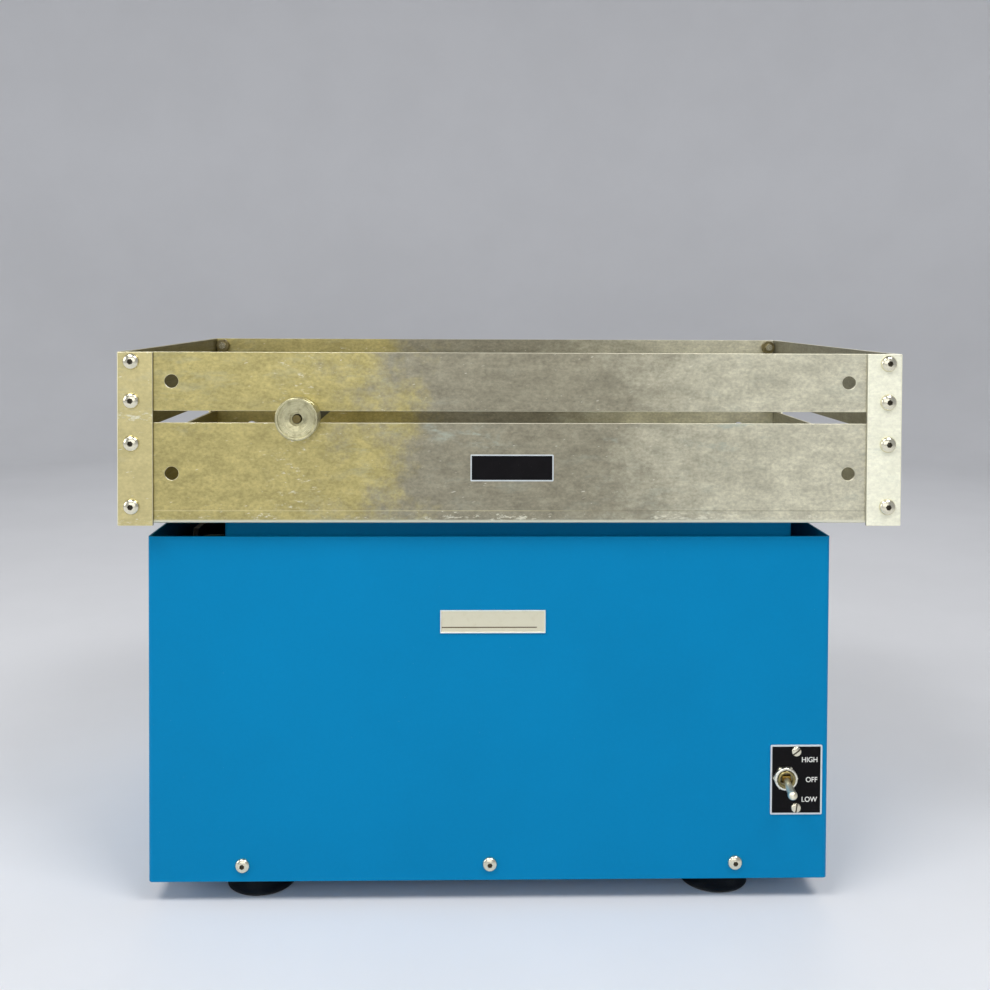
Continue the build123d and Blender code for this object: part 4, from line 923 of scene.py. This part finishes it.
class SHAKER_OT_badge(ShakerOperator, bpy.types.Operator):
    """Bare nickelled badge with a raised rim and one engraved line"""

    bl_idname = "shaker.badge"
    bl_label = "Badge"

    def execute(self, context):
        low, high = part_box("badge")
        rim, sink = 1.1 * MM, 0.5 * (high.y - low.y)
        line_width, line_gap = 0.72 * MM, 5.0 * MM
        shape = bmesh.new()
        framed_slab(shape, low, high, rim, sink).material_index = 1
        badge = edged(shown(shape, "badge_plate", ["badge_rim", "badge_nickel"]), 0.25 * MM)
        set_in(badge, "housing", "badge_silver", "badge")
        # The line starts at the left rim and stops short of the right one. It is filled with brown enamel.
        face = low.y + sink
        line_z = low.z + 0.25 * (high.z - low.z)
        line = bmesh.new()
        slab(
            line, Vector((low.x + rim, face - 0.06 * MM, line_z - line_width / 2)),
            Vector((high.x - rim - line_gap, face + 0.05 * MM, line_z + line_width / 2)),
        )
        set_in(smoothed(shown(line, "badge_filled_line", ["line_enamel"])), "housing", "badge_silver")
        return {"FINISHED"}


class SHAKER_OT_switch(ShakerOperator, bpy.types.Operator):
    """Switch plate, toggle switch, its nuts, lever and plate screws"""

    bl_idname = "shaker.switch"
    bl_label = "Switch"

    def execute(self, context):
        bordered_plate("switch_plate", "switch_plate_print", sizes().plate_border, 1.0 * MM)
        self.case_and_bushing()
        self.nuts()
        self.lever()
        self.screws()
        return {"FINISHED"}

    def case_and_bushing(self):
        """The moulded case behind the panel, and the turned bushing in front of it."""
        # The bushing is threaded from just inside the panel's rear face.
        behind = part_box("housing_shell")[0].y + 1.45 * MM
        case = welded("switch_body")
        everything = case.verts[:] + case.edges[:] + case.faces[:]
        bmesh.ops.bisect_plane(case, geom=everything, plane_co=(0, behind, 0), plane_no=TO_FRONT, clear_outer=True)
        bmesh.ops.holes_fill(case, edges=[e for e in case.edges if e.is_boundary])
        bmesh.ops.recalc_face_normals(case, faces=case.faces)
        case = edged(shown(case, "switch_case", ["black_moulding"]), sizes().fine_edge)
        set_in(case, "housing", "black_plastic", "switch_body")
        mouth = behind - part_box("switch_body")[0].y
        outer = self.outer_radius()
        bore, pitch, deep = 0.73 * outer, 0.8 * MM, 6.3 * MM
        profile = [(0.0, 0.0)]
        for turn in range(int(mouth / pitch) - 1):
            profile += [(outer, (turn + 0.1) * pitch), (outer - 0.35 * MM, (turn + 0.6) * pitch)]
        profile += [(outer, mouth - 0.9 * MM), (outer, mouth - 0.4 * MM), (outer - 0.4 * MM, mouth)]
        profile += [(bore + 0.5 * MM, mouth), (bore, mouth - 0.5 * MM), (bore, mouth - deep), (0.0, mouth - deep)]
        spot = box_centre(*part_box("switch_hex_nut"))
        place = standing(Vector((spot.x, behind, spot.z)), TO_FRONT)
        bushing = smoothed(shown(turned(profile, sizes().turning, place), "switch_bushing", ["brass_bushing"]))
        set_in(bushing, "housing", "chrome_plate")

    def outer_radius(self):
        """The bushing's radius, read off the bore of the dress nut."""
        middle = box_centre(*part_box("switch_dress_nut"))
        corners = frame["nodes"]["switch_dress_nut"].data.vertices
        return min(Vector((v.co.x - middle.x, 0, v.co.z - middle.z)).length for v in corners)

    def nuts(self):
        """The hexagon nut behind, and the round dress nut in front of it."""
        low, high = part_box("switch_hex_nut")
        dress_low, dress_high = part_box("switch_dress_nut")
        across = min(high.x - low.x, high.z - low.z)
        bore = self.outer_radius()
        seat = (box_centre(low, high), TO_FRONT, 0.0)
        hexagon = fastened("switch_hexagon", tree_named("Hexagon nut"), [seat], {
            "Across flats": across, "Thickness": high.y - low.y, "Bore radius": bore, "Seed": 0,
            "Turn range": 0.0, "Material": finish("nickel_nuts"),
        })
        set_in(hexagon, "housing", "chrome_plate", "switch_hex_nut")
        middle = box_centre(dress_low, dress_high)
        rim, deep = half_width(dress_low, dress_high), dress_high.y - dress_low.y
        # A knurled edge under a rounded shoulder, and a chamfer down to the thread.
        teeth = 72
        profile = [(bore, 0.0), (rim - 0.2 * MM, 0.0), (rim, 0.2 * MM), (rim, 0.45 * deep)]
        profile += arc(rim - 0.55 * deep, 0.45 * deep, 0.55 * deep, 12, 80)
        profile += [(bore + 0.6 * MM, deep), (bore, 0.72 * deep)]
        place = standing(Vector((middle.x, dress_high.y, middle.z)), TO_FRONT)
        shape = turned(profile, 2 * teeth, place)
        for vert in shape.verts:
            out = Vector((vert.co.x - middle.x, 0, vert.co.z - middle.z))
            side = round(teeth * (1 + Vector((1, 0)).angle_signed(Vector((out.x, out.z))) / pi))
            if out.length > rim - 0.05 * MM and side % 2:
                vert.co -= out.normalized() * 0.12 * MM
        dress = smoothed(shown(shape, "switch_dress_ring", ["nickel_nuts"]), 40.0)
        set_in(dress, "housing", "chrome_plate", "switch_dress_nut")

    def lever(self):
        """The chromed bat, as long and as thick as the solid, on its barrel."""
        joint = next(j for j in frame["joints"] if j["name"] == "switch_toggle")
        pivot = Vector(joint["pos_m"])
        verts = [v.co.copy() for v in frame["nodes"]["switch_lever"].data.vertices]
        reach = max((v - pivot).length for v in verts)
        tip = [v for v in verts if (v - pivot).length > reach - 0.3 * MM]
        direction = (sum(tip, Vector()) / len(tip) - pivot).normalized()
        end = max((v - pivot).dot(direction) for v in verts)
        bulb = max(
            (v - pivot - direction * (v - pivot).dot(direction)).length
            for v in verts if (v - pivot).dot(direction) > end / 2
        )
        barrel = max(v.x for v in verts) - pivot.x
        neck = 0.7 * bulb
        profile = [(0.0, -0.5 * MM), (neck, -0.5 * MM), (neck, 0.26 * end), (neck + 0.1 * MM, 0.36 * end)]
        profile += [(0.5 * (neck + bulb), 0.60 * end), (bulb - 0.3 * MM, 0.76 * end)]
        profile += arc(0.0, end - bulb, bulb, -8, 84, 10) + [(0.0, end)]
        shape = turned(profile, sizes().turning, standing(pivot, direction))
        # The bat swings on a short round barrel across the bushing's bore.
        thick, edge = 3.0 * MM, 0.4 * MM
        ends = [(0.0, -barrel), (thick - edge, -barrel), (thick, edge - barrel), (thick, barrel - edge)]
        ends += [(thick - edge, barrel), (0.0, barrel)]
        chromed = set(shape.faces)
        turned(ends, 40, standing(pivot, TO_RIGHT), shape)
        for face in set(shape.faces) - chromed:
            face.material_index = 1
        bat = smoothed(shown(shape, "toggle_bat", ["lever_chrome", "oiled_brass"]))
        set_in(bat, "switch_lever", "chrome_plate", "switch_lever")

    def screws(self):
        """The two slotted screws, which stand on the plate's print."""
        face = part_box("switch_plate")[0].y
        seats = sorted(wall_seats("switch_plate_screws", face + PRINT_SINK, 0.0), key=lambda seat: seat[0].z)
        # The slots were left where they came tight: the lower nearly upright, the upper aslant.
        seats = [(*seat, radians(turn)) for seat, turn in zip(seats, (82, 38))]
        low, high = islands("switch_plate_screws")[0]
        screws = fastened("plate_slotted_screws", tree_named("Slotted screw"), seats, {
            "Head radius": (high.x - low.x) / 2, "Head height": face - low.y, "Head sink": 0.0, "Roundness": 2.6,
            "Shank radius": 1.4 * MM, "Shank length": 5.0 * MM, "Pitch": 0.8 * MM, "Drive width": sizes().slot_width,
            "Drive depth": 0.9 * MM, "Seed": 11, "Turn range": 0.0, "Material": finish("stainless_screws"),
        })
        set_in(screws, "housing", "stainless_steel", "switch_plate_screws")


class SHAKER_OT_lettering(ShakerOperator, bpy.types.Operator):
    """The words beside the switch's three positions"""

    bl_idname = "shaker.lettering"
    bl_label = "Switch lettering"

    # How far above the middle of the plate each word stands, and how far to the right they all end.
    rises = {"HIGH": 14.0 * MM, "OFF": 0.0, "LOW": -13.8 * MM}
    words_end = 14.7 * MM
    # The capitals are a little narrow, and the ink is a hundredth of a millimetre thick.
    narrow, ink = 0.93, 0.01 * MM

    def execute(self, context):
        low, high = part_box("switch_plate")
        middle = box_centre(low, high)
        face = low.y + PRINT_SINK
        shape = bmesh.new()
        for word, rise in self.rises.items():
            text = bpy.data.curves.new(word, "FONT")
            text.body = word
            text.extrude = 0.02
            text.offset = 0.008
            holder = bpy.data.objects.new(word, text)
            context.scene.collection.objects.link(holder)
            context.view_layer.update()
            mesh = bpy.data.meshes.new_from_object(holder.evaluated_get(context.evaluated_depsgraph_get()))
            bpy.data.objects.remove(holder)
            right = max(v.co.x for v in mesh.vertices)
            bottom, top = min(v.co.y for v in mesh.vertices), max(v.co.y for v in mesh.vertices)
            scale = sizes().cap_height / (top - bottom)
            spot = Vector((middle.x + self.words_end, face - self.ink, middle.z + rise))
            mesh.transform(
                Matrix.Translation(spot) @ Matrix.Rotation(radians(90), 4, "X")
                @ Matrix.Diagonal((scale * self.narrow, scale, 0.002, 1))
                @ Matrix.Translation((-right, -(top + bottom) / 2, 0))
            )
            shape.from_mesh(mesh)
            bpy.data.meshes.remove(mesh)
        bmesh.ops.remove_doubles(shape, verts=shape.verts, dist=WELD)
        bmesh.ops.recalc_face_normals(shape, faces=shape.faces)
        set_in(shown(shape, "switch_lettering", ["white_ink"]), "housing", "black_label")
        return {"FINISHED"}


class SHAKER_OT_platform(ShakerOperator, bpy.types.Operator):
    """Reciprocating platform and the blocks and bushings beneath it"""

    bl_idname = "shaker.platform"
    bl_label = "Platform"

    def execute(self, context):
        # Painted light: the platform takes the lightened copy of the housing enamel.
        dressed("platform", "platform_sheet", "blue_enamel", "platform_enamel", 0.8 * MM, 3)
        dressed("carriage_blocks", "bearing_blocks", "tray_aluminium", "bar_aluminium", sizes().cast_edge)
        dressed("wrist_block", "wrist_block_bar", "tray_aluminium", "bar_aluminium", sizes().cast_edge)
        dressed("linear_bushings", "rod_bushings", "bearing_bronze", "sintered_bronze", sizes().fine_edge)
        dressed("wrist_pin", "wrist_shoulder_pin", "ground_steel", "ground_shafting", sizes().fine_edge)
        return {"FINISHED"}


class SHAKER_OT_guides(ShakerOperator, bpy.types.Operator):
    """End frames, guide rods and the screws in their ends"""

    bl_idname = "shaker.guides"
    bl_label = "Guides"

    def execute(self, context):
        for side in ("left", "right"):
            # Painted shade: the end frames take the near-black finish.
            dressed(f"end_frame_{side}", f"end_upright_{side}", "cast_iron_paint", "frame_paint", sizes().sheet_edge)
        for side in ("front", "rear"):
            dressed(f"guide_rod_{side}", f"slide_bar_{side}", "ground_steel", "ground_shafting", sizes().fine_edge)
        middle_x = box_centre(*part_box("guide_rod_front")).x
        head_height = 3.0 * MM
        seats = []
        for low, high in islands("guide_rod_screws"):
            spot = box_centre(low, high)
            outward = TO_RIGHT if spot.x > middle_x else TO_LEFT
            head = high.x if spot.x > middle_x else low.x
            seats.append((Vector((head, spot.y, spot.z)) - outward * head_height, outward))
        low, high = islands("guide_rod_screws")[0]
        screws = fastened("bar_end_screws", tree_named("Socket screw"), seats, {
            "Head radius": (high.y - low.y) / 2, "Head height": head_height, "Head sink": 0.0, "Roundness": 2.0,
            "Shank radius": 2.4 * MM, "Shank length": 10.0 * MM, "Pitch": 1.0 * MM, "Drive width": 3.0 * MM,
            "Drive depth": 1.8 * MM, "Seed": 5, "Material": finish("zinc_plate"),
        })
        set_in(screws, "housing", "zinc_steel", "guide_rod_screws")
        return {"FINISHED"}


class SHAKER_OT_drive(ShakerOperator, bpy.types.Operator):
    """Crank pedestal, bearings, pulley, crank disc, connecting rod and belt"""

    bl_idname = "shaker.drive"
    bl_label = "Drive"

    def execute(self, context):
        cast, fine = sizes().cast_edge, sizes().fine_edge
        dressed("bearing_pedestal", "crank_pedestal", "cast_iron_paint", "hammered_paint", cast)
        dressed("crank_bearings", "crank_ball_races", "ground_steel", "ground_shafting", fine)
        dressed("crank_shaft", "crank_spindle", "ground_steel", "ground_shafting", fine)
        dressed("driven_pulley", "large_pulley", "cast_iron_paint", "hammered_paint", 0.6 * MM)
        dressed("crank_disc", "crank_plate", "zinc_steel", "zinc_plate", fine)
        dressed("crank_pin", "crank_journal", "ground_steel", "ground_shafting", fine)
        dressed("connecting_rod", "forged_rod", "cast_iron_paint", "hammered_paint", cast)
        dressed("rod_bushes", "rod_eye_bushes", "bearing_bronze", "sintered_bronze", fine)
        dressed("drive_belt", "v_belt", "black_rubber", "belt_rubber", 0.4 * MM)
        return {"FINISHED"}


class SHAKER_OT_motor(ShakerOperator, bpy.types.Operator):
    """Two-speed motor on its slotted plate, with its rotor and small pulley"""

    bl_idname = "shaker.motor"
    bl_label = "Motor"

    def execute(self, context):
        cast, fine = sizes().cast_edge, sizes().fine_edge
        dressed("motor_plate", "motor_slide_plate", "zinc_steel", "zinc_plate", sizes().sheet_edge)
        dressed("motor_bottom_bell", "motor_lower_bell", "cast_iron_paint", "motor_paint", cast)
        dressed("motor_top_bell", "motor_upper_bell", "cast_iron_paint", "motor_paint", cast)
        dressed("motor_stator", "motor_stack", "motor_lamination", "motor_laminations", fine)
        dressed("motor_rotor", "motor_spindle", "ground_steel", "ground_shafting", fine)
        dressed("motor_pulley", "small_pulley", "zinc_steel", "zinc_plate", fine)
        return {"FINISHED"}


class SHAKER_OT_tray(ShakerOperator, bpy.types.Operator):
    """Folded tray pan and the four bars above its slots"""

    bl_idname = "shaker.tray"
    bl_label = "Tray"

    def execute(self, context):
        edge = sizes().sheet_edge
        dressed("tray_pan", "tray_folded_pan", "tray_aluminium", "rolled_sheet", edge)
        for side in ("front", "rear", "left", "right"):
            dressed(f"{side}_rail", f"{side}_bar", "tray_aluminium", "rolled_sheet", edge)
        return {"FINISHED"}


class SHAKER_OT_brackets(ShakerOperator, bpy.types.Operator):
    """Corner angles of the tray"""

    bl_idname = "shaker.brackets"
    bl_label = "Corner brackets"

    corner_radius = 2.4 * MM

    def execute(self, context):
        for face in ("front", "rear"):
            for end in ("left", "right"):
                self.angle(f"bracket_{face}_{end}", f"corner_angle_{face}_{end}")
        return {"FINISHED"}

    def angle(self, node, name):
        """An extruded angle: its outer corner is well rounded, its other edges are only broken."""
        shape = welded(node)
        low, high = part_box(node)
        middle = box_centre(low, high)
        outer = Vector((low.x if middle.x < 0 else high.x, low.y if middle.y < 0 else high.y))
        corner = [e for e in shape.edges if all((v.co.xy - outer).length < 0.1 * MM for v in e.verts)]
        bmesh.ops.bevel(shape, geom=corner, offset=self.corner_radius, segments=6, affect="EDGES", profile=0.5)
        piece = edged(shown(shape, name, ["rolled_angle"]), 1.6 * sizes().sheet_edge)
        set_in(piece, "carriage", "tray_aluminium", node)


class SHAKER_OT_label(ShakerOperator, bpy.types.Operator):
    """Bare black label on the tray's front"""

    bl_idname = "shaker.label"
    bl_label = "Tray label"

    def execute(self, context):
        bordered_plate("tray_label", "tray_label_print", sizes().label_border, 0.8 * MM)
        return {"FINISHED"}


class SHAKER_OT_screws(ShakerOperator, bpy.types.Operator):
    """Button-head socket screws of the tray and the housing, and the flush screws in the tray's floor"""

    bl_idname = "shaker.screws"
    bl_label = "Screws"

    def execute(self, context):
        socket = tree_named("Socket screw")
        front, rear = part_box("bracket_front_left")[0].y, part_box("bracket_rear_left")[1].y
        low, high = islands("tray_screws")[0]
        head = abs(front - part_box("tray_screws")[0].y)
        tray = {
            "Head radius": (high.x - low.x) / 2, "Head height": head, "Head sink": 0.0, "Roundness": 2.0,
            "Shank radius": 3.1 * MM, "Shank length": (high.y - low.y) - head, "Pitch": sizes().thread_pitch,
            "Drive width": sizes().socket_width, "Drive depth": sizes().socket_depth, "Seed": 21,
            "Material": finish("stainless_screws"),
        }
        corner = fastened("tray_button_screws", socket, wall_seats("tray_screws", front, rear), tray)
        set_in(corner, "carriage", "stainless_steel", "tray_screws")

        shell_low, shell_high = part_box("housing_shell")
        low, high = islands("housing_screws")[0]
        head = abs(shell_low.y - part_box("housing_screws")[0].y)
        side = tray | {
            "Head radius": (high.x - low.x) / 2, "Head height": head, "Shank radius": 2.3 * MM,
            "Shank length": (high.y - low.y) - head, "Drive width": 0.62 * (high.x - low.x) / 2,
            "Drive depth": 0.65 * head, "Seed": 8,
        }
        lower = fastened("housing_button_screws", socket, wall_seats("housing_screws", shell_low.y, shell_high.y), side)
        set_in(lower, "housing", "stainless_steel", "housing_screws")

        # The flush heads are let into the floor, all but flat on top and clear of the hole's side.
        crown, clearance, let_in = 0.3 * MM, 0.1 * MM, 0.25 * MM
        low, high = islands("floor_screws")[0]
        seats = []
        for foot, top in islands("floor_screws"):
            spot = box_centre(foot, top)
            seats.append((Vector((spot.x, spot.y, top.z - let_in)), UP))
        sunk = tray | {
            "Head radius": (high.x - low.x) / 2 - clearance, "Head height": crown, "Head sink": 1.6 * MM,
            "Roundness": 6.0, "Shank length": high.z - low.z - crown, "Drive depth": 1.7 * MM, "Seed": 4,
        }
        floor = fastened("floor_flush_screws", socket, seats, sunk)
        set_in(floor, "carriage", "stainless_steel", "floor_screws")
        return {"FINISHED"}


class SHAKER_OT_nuts(ShakerOperator, bpy.types.Operator):
    """Hexagon nuts inside the tray and under the platform"""

    bl_idname = "shaker.nuts"
    bl_label = "Nuts"

    def execute(self, context):
        seats = []
        for low, high in islands("tray_nuts"):
            # A nut under the platform lies flat, and one on a wall stands up.
            lies_flat = high.z - low.z < 0.8 * (high.x - low.x)
            seats.append((box_centre(low, high), UP if lies_flat else TO_FRONT))
        low, high = islands("tray_nuts")[0]
        size = sorted(high - low)
        nuts = fastened("tray_hexagon_nuts", tree_named("Hexagon nut"), seats, {
            "Across flats": size[1], "Thickness": size[0], "Bore radius": 2.9 * MM, "Seed": 9,
            # Painted shade: these nuts take the darkened finish.
            "Material": finish("tarnished_nuts"),
        })
        set_in(nuts, "carriage", "stainless_steel", "tray_nuts")
        return {"FINISHED"}


class SHAKER_OT_crossbar(ShakerOperator, bpy.types.Operator):
    """Bar across the tray and the studs in its ends"""

    bl_idname = "shaker.crossbar"
    bl_label = "Crossbar"

    def execute(self, context):
        # Painted shade: the crossbar takes the darkened finish.
        dressed("crossbar", "clamp_bar", "tray_aluminium", "sawn_bar", sizes().cast_edge, 3)
        shape = bmesh.new()
        for low, high in islands("crossbar_studs"):
            spot = box_centre(low, high)
            outward = TO_FRONT if spot.y < 0 else TO_REAR
            inner = Vector((spot.x, high.y if spot.y < 0 else low.y, spot.z))
            radius, long = max(high.z - low.z, high.x - low.x) / 2, high.y - low.y
            root, pitch = 0.86 * radius, sizes().thread_pitch
            profile = [(0.0, 0.0)]
            for turn in range(int(long / pitch)):
                profile += [(root, turn * pitch), (radius, (turn + 0.5) * pitch)]
            profile += [(root, long - 0.2 * MM), (0.0, long)]
            turned(profile, 40, standing(inner, outward), shape)
        studs = smoothed(shown(shape, "clamp_studs", ["aged_studs"]), 50.0)
        set_in(studs, "crossbar", "stainless_steel", "crossbar_studs")
        return {"FINISHED"}


class SHAKER_OT_knobs(ShakerOperator, bpy.types.Operator):
    """Turned aluminium thumb knobs at both ends of the crossbar"""

    bl_idname = "shaker.knobs"
    bl_label = "Knobs"

    def execute(self, context):
        for side, outward in (("front", TO_FRONT), ("rear", TO_REAR)):
            node = f"knob_{side}"
            low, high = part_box(node)
            middle = box_centre(low, high)
            back = Vector((middle.x, high.y if side == "front" else low.y, middle.z))
            radius, deep = (high.x - low.x) / 2, high.y - low.y
            finish_name = f"turned_knob_{side}"
            FINISHES[finish_name] = (turned_metal, "#C2BD98", TO_REAR, middle, 0.22, 0.36)
            shape = turned(self.profile(radius, deep), 2 * sizes().turning, standing(back, outward))
            knob = smoothed(shown(shape, f"thumb_knob_{side}", [finish_name]), 28.0)
            set_in(knob, node, "turned_aluminium", node)
        return {"FINISHED"}

    def profile(self, radius, deep):
        """Rounded back, a groove in the rim, a raised lip and a shallow dished face round the recess."""
        bore, recess, recess_floor, lip = 3.3 * MM, 4.5 * MM, 4.4 * MM, 1.7 * MM
        r, t = radius, deep
        points = [(bore, 0.0), (r - 1.0 * MM, 0.0)] + arc(r - 0.8 * MM, 0.8 * MM, 0.8 * MM, -75, 0, 5)
        points += [(r, 0.60 * t), (r - 0.25 * MM, 0.615 * t), (r - 0.9 * MM, 0.64 * t), (r - 0.9 * MM, 0.68 * t)]
        points += [(r - 0.25 * MM, 0.705 * t), (r, 0.72 * t), (r, t - 0.6 * MM)]
        points += arc(r - 0.6 * MM, t - 0.6 * MM, 0.6 * MM, 15, 90, 5)
        points += [(r - lip, t), (r - lip - 0.2 * MM, t - 0.1 * MM), (r - lip - 0.5 * MM, t - 0.55 * MM)]
        points += [(0.62 * r, t - 0.9 * MM), (recess + 0.5 * MM, t - 1.05 * MM), (recess, t - 1.3 * MM)]
        points += [(recess, t - recess_floor), (bore, t - recess_floor)]
        return points


OPERATORS = (
    SHAKER_OT_stage, SHAKER_OT_housing, SHAKER_OT_feet, SHAKER_OT_badge, SHAKER_OT_switch, SHAKER_OT_lettering,
    SHAKER_OT_platform, SHAKER_OT_guides, SHAKER_OT_drive, SHAKER_OT_motor, SHAKER_OT_tray, SHAKER_OT_brackets,
    SHAKER_OT_label, SHAKER_OT_screws, SHAKER_OT_nuts, SHAKER_OT_crossbar, SHAKER_OT_knobs,
)


class SHAKER_PT_pieces(bpy.types.Panel):
    """Lists the shaker's pieces and the sizes and colours that can be changed"""

    bl_idname = "SHAKER_PT_pieces"
    bl_label = "Bench shaker"
    bl_space_type = "VIEW_3D"
    bl_region_type = "UI"
    bl_category = "Shaker"

    def draw(self, context):
        column = self.layout.column(align=True)
        for operator in OPERATORS:
            column.operator(operator.bl_idname)
        for group in (context.scene.shaker_sizes, context.scene.shaker_colours):
            box = self.layout.box()
            for name in type(group).__annotations__:
                box.prop(group, name)


CLASSES = (ShakerSizes, ShakerColours, *OPERATORS, SHAKER_PT_pieces)


def register():
    for cls in CLASSES:
        bpy.utils.register_class(cls)
    bpy.types.Scene.shaker_sizes = PointerProperty(type=ShakerSizes)
    bpy.types.Scene.shaker_colours = PointerProperty(type=ShakerColours)


def unregister():
    del bpy.types.Scene.shaker_colours
    del bpy.types.Scene.shaker_sizes
    for cls in reversed(CLASSES):
        bpy.utils.unregister_class(cls)


def main():
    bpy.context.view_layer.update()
    register()
    for operator in OPERATORS:
        area, name = operator.bl_idname.split(".")
        getattr(getattr(bpy.ops, area), name)()


if __name__ == "__main__":
    main()
